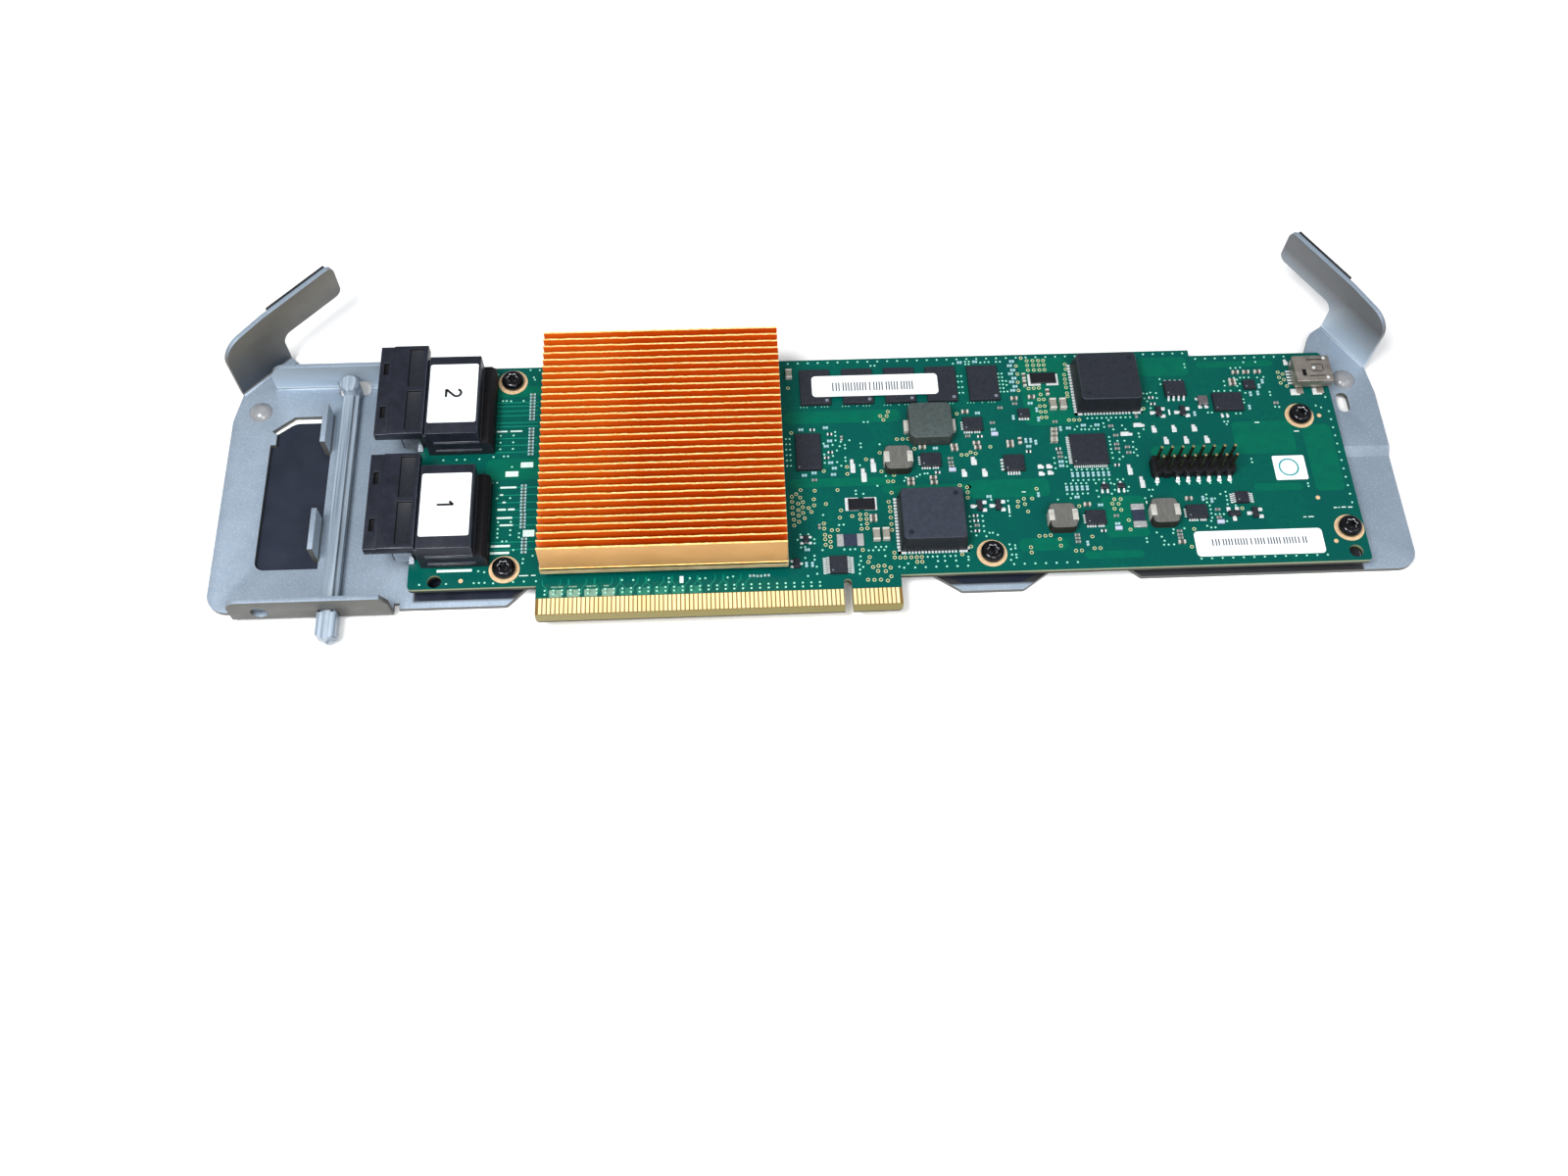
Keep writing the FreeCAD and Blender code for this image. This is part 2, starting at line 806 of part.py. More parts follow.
def wall_on_bend(body, name, place, angle, side, bend_to, wall):
    """A bent-up wall: a bend along the run from place, and a flat wall with the given outline.

    Along the run the wall's corners are (distance, height). Side is +1 where the sheet's
    outer face lies to the left of the run, and -1 where it lies to the right.
    """
    x, y, z = place
    t, r = s.plate_thick, s.bend_round
    profile = [
        (-s.bend_overlap * side, 0),
        (0, 0, r),
        (0, r * 2),
        (t * side, r * 2),
        (t * side, -t, r + t),
        (-s.bend_overlap * side, -t),
    ]
    sketch = draw(body, name + "_bend", [profile], plane="YZ_Plane", at=(y, z, x), turn=angle)
    pad(body, sketch, bend_to)
    sketch = draw(body, name + "_wall", [wall], plane="XZ_Plane", at=(x, z, -y), turn=angle)
    pad(body, sketch, t, reverse=side > 0)


def ear_wall():
    """Outline of a diagonal ear: a neck, and an arm that reaches past it."""
    return [
        (0, s.bend_round),
        (s.ear_neck, s.bend_round),
        (s.ear_neck, s.ear_arm_low, s.ear_inner_round),
        (s.ear_reach, s.ear_arm_low, s.ear_tip_round),
        (s.ear_reach, s.ear_high, s.ear_tip_round),
        (s.ear_shoulder_to, s.ear_high),
        (0, s.ear_high - s.ear_shoulder, s.ear_outer_round),
    ]


def bend_end(x, y, angle):
    """Far end of an ear's bend line."""
    return (x + cosine(angle) * s.ear_neck, y + sine(angle) * s.ear_neck)


def window_outline():
    """The carrier's window, with a small lug in its left edge."""
    left, right = -window_left, -window_right
    return [
        (left, s.window_front, s.window_round),
        (right, s.window_front),
        (right, window_back),
        (left + s.window_chamfer_x, window_back),
        (left, window_back - s.window_chamfer_y),
        (left + s.window_lug_wide, window_lug_to),
        (left + s.window_lug_wide, window_lug_from),
        (left, window_lug_from),
    ]


def make_carrier():
    """The folded carrier: plate, joggled corner, two flanges, two hooks and two ears."""
    body = new_body("carrier_plate")
    left_far = bend_end(-left_ear_x, left_ear_y, s.left_ear_angle)
    right_far = bend_end(right_ear_x, right_ear_y, s.right_ear_angle)
    bend_line = s.plate_thick - s.front_flange_y
    mid_flank, left_flank = s.mid_tongue_flank, s.left_tongue_flank
    inner = s.plate_inner_front
    outline = [
        (-plate_left, -s.plate_front_left, s.plate_corner),
        (-front_flange_from, -s.plate_front_left),
        (-front_flange_from, bend_line),
        (-flanges_to, bend_line),
        (-flanges_to, -s.flange_notch),
        (-left_tongue_from, -s.flange_notch),
        (-left_tongue_from, -s.tongue_front),
        (-left_tongue_to, -s.tongue_front, s.tongue_round),
        (left_flank - left_tongue_to, inner),
        (mid_tongue_from - mid_flank, inner),
        (mid_tongue_from, -s.tongue_front, s.tongue_round),
        (mid_tongue_to, -s.tongue_front, s.tongue_round),
        (mid_tongue_to + mid_flank, inner),
        (s.right_front_from - s.right_front_flank, inner),
        (s.right_front_from, -s.plate_front),
        (plate_right, -s.plate_front, s.plate_corner),
        (plate_right, joggle_front),
        (joggle_left - s.joggle_slit, joggle_front),
        (joggle_left - s.joggle_slit, plate_back),
        (-back_flange_from, plate_back),
        (-back_flange_from, plate_back + s.root_step),
        (left_far[0] + s.bend_round, left_far[1] - s.root_lean),
        left_far,
        (-left_ear_x, left_ear_y),
        (-plate_left, left_ear_y - s.ear_flare, s.plate_corner),
    ]
    sketch = draw(body, "plate_outline", [outline, window_outline()], at=(0, 0, plate_top))
    pad(body, sketch, s.plate_thick, reverse=True)

    slope = [
        (joggle_front, plate_top),
        (joggle_back, raised_top),
        (joggle_back, raised_top - s.plate_thick),
        (joggle_front, plate_bottom),
    ]
    sketch = draw(body, "joggle_slope", [slope], plane="YZ_Plane", at=(0, 0, joggle_left))
    pad(body, sketch, s.joggle_from_right)
    neck_x = plate_right - s.neck_in_x
    raised = [
        (joggle_left, joggle_back),
        (plate_right, joggle_back),
        (plate_right, right_ear_y - s.ear_flare, s.plate_corner),
        (right_ear_x, right_ear_y),
        right_far,
        (plate_right - s.neck_out_x, plate_back + s.neck_out_y, s.neck_round),
        (neck_x, raised_back, s.neck_round),
        (joggle_left, raised_back),
    ]
    slot_x, half = plate_right - s.slot_inset, s.slot_half_width
    slot_y = plate_back - s.slot_short_of_back
    slot = rectangle(slot_x - half, slot_y - s.slot_half_length, slot_x + half,
                     slot_y + s.slot_half_length, s.slot_round)
    sketch = draw(body, "raised_outline", [raised, slot], at=(0, 0, raised_top))
    pad(body, sketch, s.plate_thick, reverse=True)

    zero = as_size(0)
    run = front_flange_from - flanges_to
    front_wall = [
        (0, s.bend_round),
        (run, s.bend_round),
        (run, s.front_flange_high - s.front_flange_round),
        (run - s.front_flange_slope, s.front_flange_high),
        (0, s.front_flange_high, s.front_flange_round),
    ]
    wall_on_bend(body, "front_flange", (-front_flange_from, bend_line, plate_top), zero, -1, run,
                 front_wall)
    hole = (s.flange_hole_inset - plate_left, plate_top + s.flange_hole_up, s.flange_hole)
    sketch = draw(body, "flange_hole_outline", circles=[hole], plane="XZ_Plane", at=(0, 0, s.front_flange_y))
    pocket(body, sketch, s.plate_thick)
    run = back_flange_from - flanges_to
    back_wall = [
        (0, s.bend_round),
        (run, s.bend_round),
        (run, s.back_flange_high),
        (0, s.back_flange_high, s.back_flange_round),
    ]
    wall_on_bend(body, "back_flange", (-back_flange_from, plate_back, plate_top), zero, 1, run,
                 back_wall)
    square_turn = as_size(90)
    hook_wall = [
        (0, s.bend_round),
        (s.hook_length, s.bend_round),
        (s.hook_length, s.hook_high),
        (0, s.hook_high),
    ]
    hook_starts = {
        "front_hook": s.window_front + s.hook_front_gap,
        "back_hook": window_back - s.hook_back_gap - s.hook_length,
    }
    for name, y in hook_starts.items():
        wall_on_bend(body, name, (-window_right, y, plate_top), square_turn, 1, s.hook_length, hook_wall)
    wall_on_bend(body, "left_ear", (-left_ear_x, left_ear_y, plate_top), s.left_ear_angle, 1,
                 s.ear_neck, ear_wall())
    wall_on_bend(body, "right_ear", (right_ear_x, right_ear_y, raised_top), s.right_ear_angle, -1,
                 s.ear_neck, ear_wall())

    half = s.pipe_width / 2 + s.pipe_gap
    slot = rectangle(-pipe_x - half, -s.front_flange_y - s.plate_thick, half - pipe_x,
                     bend_line + s.bend_round)
    sketch = draw(body, "pipe_slot", [slot], at=(0, 0, plate_top + s.pipe_high + s.pipe_gap))
    pocket(body, sketch, s.pipe_high + s.pipe_gap)
    half = s.relief_half_width
    relief_front = plate_back - s.relief_deep
    relief_back = plate_back + s.plate_thick * 2
    relief = [
        (-pipe_x - half, relief_front, s.relief_round),
        (half - pipe_x, relief_front, s.relief_round),
        (half - pipe_x, relief_back),
        (-pipe_x - half, relief_back),
    ]
    sketch = draw(body, "pipe_relief", [relief], at=(0, 0, plate_top + s.relief_up))
    pocket(body, sketch, s.relief_up + s.plate_thick * 2)


def make_films():
    """The insulator under the board and the film that backs the window."""
    body = new_body("insulator_film")
    front, inner = s.film_margin - s.tongue_front, s.plate_inner_front + s.film_inner_margin
    left = s.film_left_gap - s.board_left
    right = joggle_left - s.joggle_slit - s.film_joggle_gap
    back = s.board_depth - s.film_short_of_back
    shift = s.film_inner_margin
    outline = [
        (left, front, s.film_round),
        (shift - left_tongue_to, front),
        (shift + s.left_tongue_flank - left_tongue_to, inner),
        (mid_tongue_from - s.mid_tongue_flank, inner),
        (mid_tongue_from + shift, front),
        (mid_tongue_to - shift, front),
        (mid_tongue_to + s.mid_tongue_flank, inner),
        (right, inner),
        (right, back),
        (left, back),
    ]
    holes = [six_sides(x, y, s.standoff_corner + s.film_hole_gap)
             for x, y, level in (screw_places[0], screw_places[2])]
    sketch = draw(body, "film_outline", [outline] + holes, at=(0, 0, plate_top))
    pad(body, sketch, s.film_thick)

    body = new_body("window_film")
    margin = s.window_film_margin
    back = window_back - s.window_film_dip
    outline = [
        (-window_left - margin, s.window_front - margin),
        (margin - window_right, s.window_front - margin),
        (margin - window_right, window_back + margin),
        (-window_right, window_back + margin),
        (-window_right - s.window_film_dip, back),
        (s.window_chamfer_x - window_left, back, margin),
        (-window_left - margin, window_lug_from),
    ]
    sketch = draw(body, "window_film_outline", [outline], at=(0, 0, plate_bottom))
    pad(body, sketch, s.window_film_thick, reverse=True)


def make_light_pipe():
    """The clear light pipe: a ribbed rod, a round head and a pointed foot."""
    body = new_body("light_pipe")
    half, rib = s.pipe_width / 2, s.pipe_rib / 2
    section = [
        (-half, 0),
        (half, 0),
        (half, s.pipe_low),
        (rib, s.pipe_low),
        (rib, s.pipe_high),
        (-rib, s.pipe_high),
        (-rib, s.pipe_low),
        (-half, s.pipe_low),
    ]
    foot_back = -s.front_flange_y - s.pipe_gap
    sketch = draw(body, "pipe_section", [section], plane="XZ_Plane",
                  at=(-pipe_x, plate_top, -pipe_head_y))
    pad(body, sketch, pipe_head_y - foot_back)
    head = draw(body, "pipe_head", circles=[(-pipe_x, pipe_head_y, s.pipe_head)], at=(0, 0, plate_top))
    pad(body, head, s.pipe_head_high)
    wide = s.pipe_foot_width / 2
    end = foot_back - s.pipe_foot_length
    foot = [
        (-pipe_x - wide, foot_back),
        (-pipe_x - wide, end),
        (-pipe_x, end - s.pipe_foot_point),
        (wide - pipe_x, end),
        (wide - pipe_x, foot_back),
    ]
    sketch = draw(body, "pipe_foot", [foot], at=(0, 0, plate_top))
    pad(body, sketch, s.pipe_high)
    doc.recompute()
    top = (plate_top + s.pipe_head_high).number
    rims = [f"Edge{i + 1}" for i, edge in enumerate(body.Shape.Edges)
            if edge.Length > s.pipe_head.number * math.pi and abs(edge.CenterOfMass.z - top) < 1e-6]
    rod = body.Tip
    bevel = body.newObject("PartDesign::Chamfer", "pipe_head_bevel")
    bevel.Base = (rod, rims)
    bind(bevel, "Size", s.pipe_head_bevel)


def make_grips():
    """Black grip strips on the outer faces of both ears."""
    ears = {
        "left_grip": (-left_ear_x, left_ear_y, plate_top, s.left_ear_angle, 1),
        "right_grip": (right_ear_x, right_ear_y, raised_top, s.right_ear_angle, -1),
    }
    for label, (x, y, z, angle, side) in ears.items():
        body = new_body(label)
        near = s.plate_thick
        far = near + s.grip_thick
        section = rectangle(near * side, s.ear_high - s.grip_deep, far * side, s.ear_high)
        if side < 0:
            section.reverse()
        start = (x + cosine(angle) * s.grip_from, y + sine(angle) * s.grip_from)
        sketch = draw(body, label + "_section", [section], plane="YZ_Plane",
                      at=(start[1], z, start[0]), turn=angle)
        pad(body, sketch, s.grip_to - s.grip_from)


def make_bumpers():
    """Two clear bumpers stuck on the carrier."""
    pieces = []
    y = plate_back - s.bumper_short_of_back
    spots = (("left", s.left_bumper_inset - plate_left, plate_top),
             ("right", plate_right - s.right_bumper_inset, raised_top))
    for name, x, level in spots:
        bumper = doc.addObject("Part::Cone", f"{name}_bumper")
        bind(bumper, "Radius1", s.bumper_round)
        bind(bumper, "Radius2", s.bumper_top)
        bind(bumper, "Height", s.bumper_high)
        move(bumper, x, y, level)
        pieces.append(bumper)
    group_of("bumpers", pieces)


def column(name, x, y, low, high, corner, sides):
    """An upright prism with a regular outline between two levels."""
    piece = doc.addObject("Part::Prism", name)
    bind(piece, "Polygon", sides)
    bind(piece, "Circumradius", corner)
    bind(piece, "Height", high - low)
    move(piece, x, y, low)
    return piece


def make_fixings():
    """Six-sided standoffs on the carrier, and the screws that go into them through the board."""
    standoffs, screws = [], []
    for i, (x, y, level) in enumerate(screw_places):
        standoff = doc.addObject("Part::Cut", f"standoff_{i}")
        standoff.Base = column(f"standoff_body_{i}", x, y, level, board_under, s.standoff_corner, SIX)
        standoff.Tool = column(f"standoff_bore_{i}", x, y, level, board_under,
                               s.screw_shaft + s.thread_gap, s.thread_sides)
        standoffs.append(standoff)
        head = doc.addObject("Part::Cylinder", f"screw_head_{i}")
        bind(head, "Radius", s.screw_head)
        bind(head, "Height", s.screw_head_high)
        move(head, x, y, 0)
        screw = doc.addObject("Part::Fuse", f"screw_{i}")
        screw.Base = head
        screw.Tool = column(f"screw_shaft_{i}", x, y, level + s.screw_tip_gap, as_size(0),
                            s.screw_shaft, s.thread_sides)
        screws.append(screw)
    group_of("standoffs", standoffs)
    group_of("board_screws", screws)


def make_heat_sink():
    """The controller chip, its thermal pad and the finned copper heat sink."""
    middle_x = s.sink_width / 2 - s.sink_left
    middle_y = s.sink_front + sink_depth / 2
    body = new_body("controller_chip")
    pad(body, draw(body, "substrate", [centred(s.chip_wide, s.chip_wide)]), s.chip_substrate)
    lid = s.chip_wide - s.chip_lid_inset * 2
    sketch = draw(body, "lid", [centred(lid, lid)], at=(0, 0, s.chip_substrate))
    pad(body, sketch, s.chip_lid)
    move(body, middle_x, middle_y, 0)
    body = new_body("thermal_pad")
    side = lid - s.pad_inset
    pad(body, draw(body, "pad_outline", [centred(side, side)]), s.pad_thick)
    move(body, middle_x, middle_y, s.chip_substrate + s.chip_lid)

    body = new_body("heat_sink")
    base = rectangle(0, 0, s.sink_width, sink_depth)
    pad(body, draw(body, "sink_base_outline", [base]), s.sink_base)
    fin = rectangle(s.fin_side_gap, s.fin_front_gap, s.sink_width - s.fin_side_gap,
                    s.fin_front_gap + s.fin_thick)
    first = pad(body, draw(body, "fin_outline", [fin], at=(0, 0, s.sink_base)), s.fin_high)
    row_pattern(body, first, "Y_Axis", s.fin_pitch, s.fin_count)
    move(body, -s.sink_left, s.sink_front, sink_bottom)


def make_port(index, y):
    """One double receptacle: shroud, housing with blades, contacts, hold-down clips and label."""
    width, jaw = s.roof_width, s.jaw_inset
    roof_low = s.port_high - s.roof_thick
    shroud = new_body(f"port_{index}_shroud")
    roof = rectangle(0, 0, s.roof_length, width)
    pad(shroud, draw(shroud, f"roof_{index}", [roof], at=(0, 0, roof_low)), s.roof_thick)
    jaw_block = rectangle(s.mouth_setback, jaw, s.roof_length, width - jaw)
    pad(shroud, draw(shroud, f"jaw_{index}", [jaw_block]), roof_low)
    web = width - jaw * 2 - s.mouth_wall * 2 - s.mouth_width * 2
    mouth_starts = [jaw + s.mouth_wall, jaw + s.mouth_wall + s.mouth_width + web]
    mouths = [rectangle(start, s.mouth_floor, start + s.mouth_width, s.mouth_floor + s.mouth_high)
              for start in mouth_starts]
    sketch = draw(shroud, f"mouths_{index}", mouths, plane="YZ_Plane", at=(0, 0, s.roof_length))
    pocket(shroud, sketch, s.roof_length - s.mouth_setback)
    strip = rectangle(0, 0, s.roof_strip, width)
    sketch = draw(shroud, f"roof_strip_{index}", [strip], at=(0, 0, s.port_high))
    pocket(shroud, sketch, s.roof_strip_drop)
    slots = [rectangle(s.latch_slot_x, start, s.latch_slot_x + s.latch_slot_wide, start + s.latch_slot_long)
             for start in (s.latch_slot_y, s.latch_slot_y + s.latch_slot_pitch)]
    sketch = draw(shroud, f"latch_slots_{index}", slots, at=(0, 0, s.port_high))
    pocket(shroud, sketch, s.latch_slot_deep)
    recess_end = s.roof_recess_x + s.roof_recess_wide
    recesses = [rectangle(s.roof_recess_x, start, recess_end, start + s.roof_recess_long)
                for start in (s.roof_recess_y, s.roof_recess_y + s.roof_recess_pitch)]
    sketch = draw(shroud, f"roof_recesses_{index}", recesses, at=(0, 0, s.port_high))
    pocket(shroud, sketch, s.roof_recess_deep)
    move(shroud, port_x, y, 0)

    housing = new_body(f"port_{index}_housing")
    front, back = -s.housing_side, s.housing_width - s.housing_side
    start, end = s.roof_length, s.roof_length + s.housing_length
    side_view = [
        (start, 0),
        (end + s.housing_toe, 0),
        (end + s.housing_toe, s.housing_toe_high - s.housing_chamfer),
        (end + s.housing_toe - s.housing_chamfer, s.housing_toe_high),
        (end, s.housing_toe_high),
        (end, s.port_high),
        (start + s.housing_groove, s.port_high),
        (start + s.housing_groove, s.port_high - s.housing_groove_deep),
        (start, s.port_high - s.housing_groove_deep),
    ]
    sketch = draw(housing, f"housing_{index}_side", [side_view], plane="XZ_Plane", at=(0, 0, -back))
    pad(housing, sketch, s.housing_width)
    rib = rectangle(start + s.rib_from, s.rib_low, end, s.rib_low + s.rib_high)
    sketch = draw(housing, f"housing_{index}_rib", [rib], plane="XZ_Plane", at=(0, 0, -front))
    first = pad(housing, sketch, s.rib_proud)
    row_pattern(housing, first, "Z_Axis", s.rib_pitch, s.rib_count)
    blade_z = s.mouth_floor + s.mouth_high / 2 - s.blade_thick / 2
    blades = [rectangle(mouth + s.blade_side_gap, blade_z, mouth + s.mouth_width - s.blade_side_gap,
                        blade_z + s.blade_thick) for mouth in mouth_starts]
    sketch = draw(housing, f"blades_{index}", blades, plane="YZ_Plane", at=(0, 0, start))
    pad(housing, sketch, s.blade_long, reverse=True)
    move(housing, port_x, y, 0)

    contacts = []
    row = s.contact_pitch * (s.contact_count - 1) + s.contact_width
    for mouth in mouth_starts:
        first_y = y + mouth + s.mouth_width / 2 - row / 2
        for level in (blade_z + s.blade_thick, blade_z - s.contact_thick):
            for i in range(int(s.contact_count.number)):
                corner = VECTOR((port_x + start - s.contact_long).number,
                                (first_y + s.contact_pitch * i).number, level.number)
                contacts.append(Part.makeBox(s.contact_long.number, s.contact_width.number,
                                             s.contact_thick.number, corner))
    keep_solids(f"port_{index}_contacts", contacts)

    clips = []
    foot_x = s.clip_from + s.clip_long - s.clip_foot_long
    for name, inner, outward in (("front", jaw, -1), ("back", width - jaw, 1)):
        clip = doc.addObject("PartDesign::Body", f"port_{index}_{name}_clip")
        outer = inner + s.clip_thick * outward
        toe = outer + s.clip_foot_out * outward
        low, high = (outer, inner) if outward < 0 else (inner, outer)
        plate = rectangle(s.clip_from, low, s.clip_from + s.clip_long, high)
        pad(clip, draw(clip, f"clip_plate_{index}_{name}", [plate]), s.clip_high)
        low, high = (toe, outer) if outward < 0 else (outer, toe)
        foot = rectangle(foot_x, low, s.clip_from + s.clip_long, high)
        pad(clip, draw(clip, f"clip_foot_{index}_{name}", [foot]), s.clip_thick)
        move(clip, port_x, y, 0)
        clips.append(clip)
    group_of(f"port_{index}_clips", clips)

    label = new_body(f"port_{index}_label")
    near = start + s.housing_groove + s.port_label_gap
    outline = rectangle(near, s.port_label_from, near + s.port_label_long,
                        s.port_label_from + s.port_label_wide)
    pad(label, draw(label, f"port_label_{index}", [outline]), s.label_thick)
    move(label, port_x, y, s.port_high)


def on_board(x, y):
    """Place of a part from the tables, spread with the board."""
    return (x * layout_x, y * layout_y)


def place_of(label):
    return on_board(s.get(f"{label}_x"), s.get(f"{label}_y"))


def make_moulded(label, place, wide, deep, high, draft):
    """A moulded block whose sides lean in towards the top."""
    body = new_body(label)
    pad(body, draw(body, label + "_outline", [centred(wide, deep)]), high, draft=draft)
    move(body, *place, 0)


def make_chips():
    """The moulded chips, the memory row and the crystal."""
    for label in CHIPS:
        sizes = [s.get(f"{label}_{field}") for field in FIELDS[2:]]
        make_moulded(label, place_of(label), *sizes, s.chip_draft)
    for i in range(int(s.memory_count.number)):
        make_moulded(f"memory_chip_{i + 1}", on_board(s.memory_x + s.memory_pitch * i, s.memory_y),
                     s.memory_wide, s.memory_deep, s.memory_high, s.chip_draft)
    make_moulded("crystal", place_of("crystal"), s.crystal_wide, s.crystal_deep, s.crystal_high,
                 s.chip_draft)
    for label in POWER_MODULES:
        make_moulded(label, place_of(label), s.module_wide, s.module_deep, s.module_high,
                     s.module_draft)


def make_inductors():
    """The large moulded inductor and the small eight-sided ones, with their metal ends."""
    body = new_body("large_inductor")
    coil = cut_corners(s.coil_wide, s.coil_deep, s.coil_cut)
    pad(body, draw(body, "coil_outline", [coil]), s.coil_high)
    coil_x, coil_y = place_of("coil")
    move(body, coil_x, coil_y, 0)
    ends = [block(f"coil_foot_{name}", x, coil_y - s.coil_foot_deep / 2, 0, s.coil_foot_out,
                  s.coil_foot_deep, s.coil_foot_thick)
            for name, x in (("left", coil_x - s.coil_wide / 2 - s.coil_foot_out),
                            ("right", coil_x + s.coil_wide / 2))]
    half_x = s.inductor_wide / 2
    eight_sides = cut_corners(s.inductor_wide, s.inductor_deep, s.inductor_cut)
    for label in SMALL_INDUCTORS:
        x, y = place_of(label)
        body = new_body(label)
        pad(body, draw(body, label + "_outline", [eight_sides]), s.inductor_high)
        move(body, x, y, 0)
        thick, reach = s.inductor_cap_thick, s.inductor_cap_reach
        for name, side in (("left", -1), ("right", 1)):
            edge = half_x * side
            section = [
                (edge, 0),
                (edge + thick * side, 0),
                (edge + thick * side, s.inductor_high + thick),
                (edge - reach * side, s.inductor_high + thick),
                (edge - reach * side, s.inductor_high),
                (edge, s.inductor_high),
            ]
            cap = doc.addObject("PartDesign::Body", f"{label}_{name}_cap")
            sketch = draw(cap, f"{label}_{name}_section", [section], plane="XZ_Plane",
                          at=(0, 0, -s.inductor_cap_deep / 2))
            pad(cap, sketch, s.inductor_cap_deep)
            move(cap, x, y, 0)
            ends.append(cap)
    group_of("inductor_ends", ends)


def make_small_parts():
    """Flat resistors and ceramic capacitors."""
    for group, label, high in ((RESISTORS, "resistors", s.resistor_high),
                               (CAPACITORS, "capacitors", s.capacitor_high)):
        pieces = []
        for piece in group:
            x, y = place_of(piece)
            wide, deep = s.get(f"{piece}_wide"), s.get(f"{piece}_deep")
            pieces.append(block(piece, x - wide / 2, y - deep / 2, 0, wide, deep, high))
        group_of(label, pieces)


def make_header():
    """The double-row pin header."""
    pitch, half = s.header_pitch, s.pin_wide / 2
    body = new_body("header_body")
    long = pitch * s.header_columns
    first_x = pitch / 2 - long / 2
    at_first = [(first_x + x, y) for x, y in cut_corners(pitch, pitch * 2, s.header_notch)]
    gap = half + s.pin_gap
    holes = [rectangle(first_x - gap, row - gap, first_x + gap, row + gap)
             for row in (-pitch / 2, pitch / 2)]
    first = pad(body, draw(body, "header_slice", [at_first] + holes), s.header_high)
    row_pattern(body, first, "X_Axis", pitch, s.header_columns)
    header_x, header_y = place_of("header")
    move(body, header_x, header_y, 0)
    pins = []
    for column in range(int(s.header_columns.number)):
        for name, side in (("front", -1), ("back", 1)):
            x = header_x + first_x + pitch * column - half
            y = header_y + pitch / 2 * side - half
            pins.append(block(f"pin_{name}_{column}", x, y, 0, s.pin_wide, s.pin_wide, s.pin_high))
    group_of("header_pins", pins)


def make_socket():
    """The service socket at the right edge: a steel shell and the tongue inside it."""
    length, half, high, wall = s.socket_length, s.socket_width / 2, s.socket_high, s.socket_wall
    cut = s.socket_corner
    x = s.board_right + s.socket_overhang - length
    y = s.board_depth - s.socket_short_of_back
    body = new_body("socket_shell")
    outer = [(cut - half, 0), (half - cut, 0), (half, cut), (half, high), (-half, high), (-half, cut)]
    pad(body, draw(body, "shell_outer", [outer], plane="YZ_Plane"), length)
    slim = cut + wall / 2
    inner = [
        (slim - half, wall),
        (half - slim, wall),
        (half - wall, slim),
        (half - wall, high - wall),
        (wall - half, high - wall),
        (wall - half, slim),
    ]
    sketch = draw(body, "shell_inner", [inner], plane="YZ_Plane", at=(0, 0, length))
    pocket(body, sketch, length - s.socket_back_wall)
    tabs = []
    for start in (s.tab_inset, s.tab_inset + s.tab_pitch):
        tabs.append(rectangle(start, -half - s.tab_out, start + s.tab_wide, cut - half))
        tabs.append(rectangle(start, half - cut, start + s.tab_wide, half + s.tab_out))
    pad(body, draw(body, "shell_tabs", tabs), s.tab_thick)
    move(body, x, y, 0)
    body = new_body("socket_tongue")
    tongue = rectangle(s.socket_back_wall, -s.tongue_wide / 2, s.socket_back_wall + s.tongue_long,
                       s.tongue_wide / 2)
    pad(body, draw(body, "tongue_outline", [tongue], at=(0, 0, s.tongue_up)), s.tongue_thick)
    move(body, x, y, 0)


def make_labels():
    """Plain paper labels on the memory row and the board."""
    places = {
        "memory_label": (*on_board(s.memory_label_x, s.memory_y), s.memory_high),
        "board_label": (s.board_right - s.board_label_inset - s.board_label_wide / 2, s.board_label_y, 0),
        "square_label": (*place_of("square_label"), 0),
    }
    for label, (x, y, z) in places.items():
        body = new_body(label)
        outline = centred(s.get(f"{label}_wide"), s.get(f"{label}_deep"), s.label_round)
        pad(body, draw(body, label + "_outline", [outline]), s.label_thick)
        move(body, x, y, z)


def write_parts():
    """Checks every object and writes one file per node."""
    doc.recompute()
    for piece in doc.Objects:
        if "Invalid" in piece.State or "Error" in piece.State:
            raise RuntimeError(f"{piece.Name} failed: {piece.State}")
    os.makedirs("parts", exist_ok=True)
    for label, piece in nodes.items():
        if piece.Shape.isNull() or not piece.Shape.isValid():
            raise RuntimeError(f"{label} has no valid shape")
    for label, piece in nodes.items():
        piece.Shape.exportStep(f"parts/{label}.step")
    print(f"{len(nodes)} nodes written")


make_board()
make_fingers()
make_carrier()
make_films()
make_light_pipe()
make_grips()
make_bumpers()
make_fixings()
make_heat_sink()
make_port(1, s.port_1_y)
make_port(2, s.port_1_y + s.port_pitch)
make_chips()
make_inductors()
make_small_parts()
make_header()
make_socket()
make_labels()
write_parts()
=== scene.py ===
"""Looks of a storage controller card on its folded steel carrier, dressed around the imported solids."""
import functools
import logging
import math
import random
from collections.abc import Iterable, Sequence
from dataclasses import dataclass, field
from enum import Enum

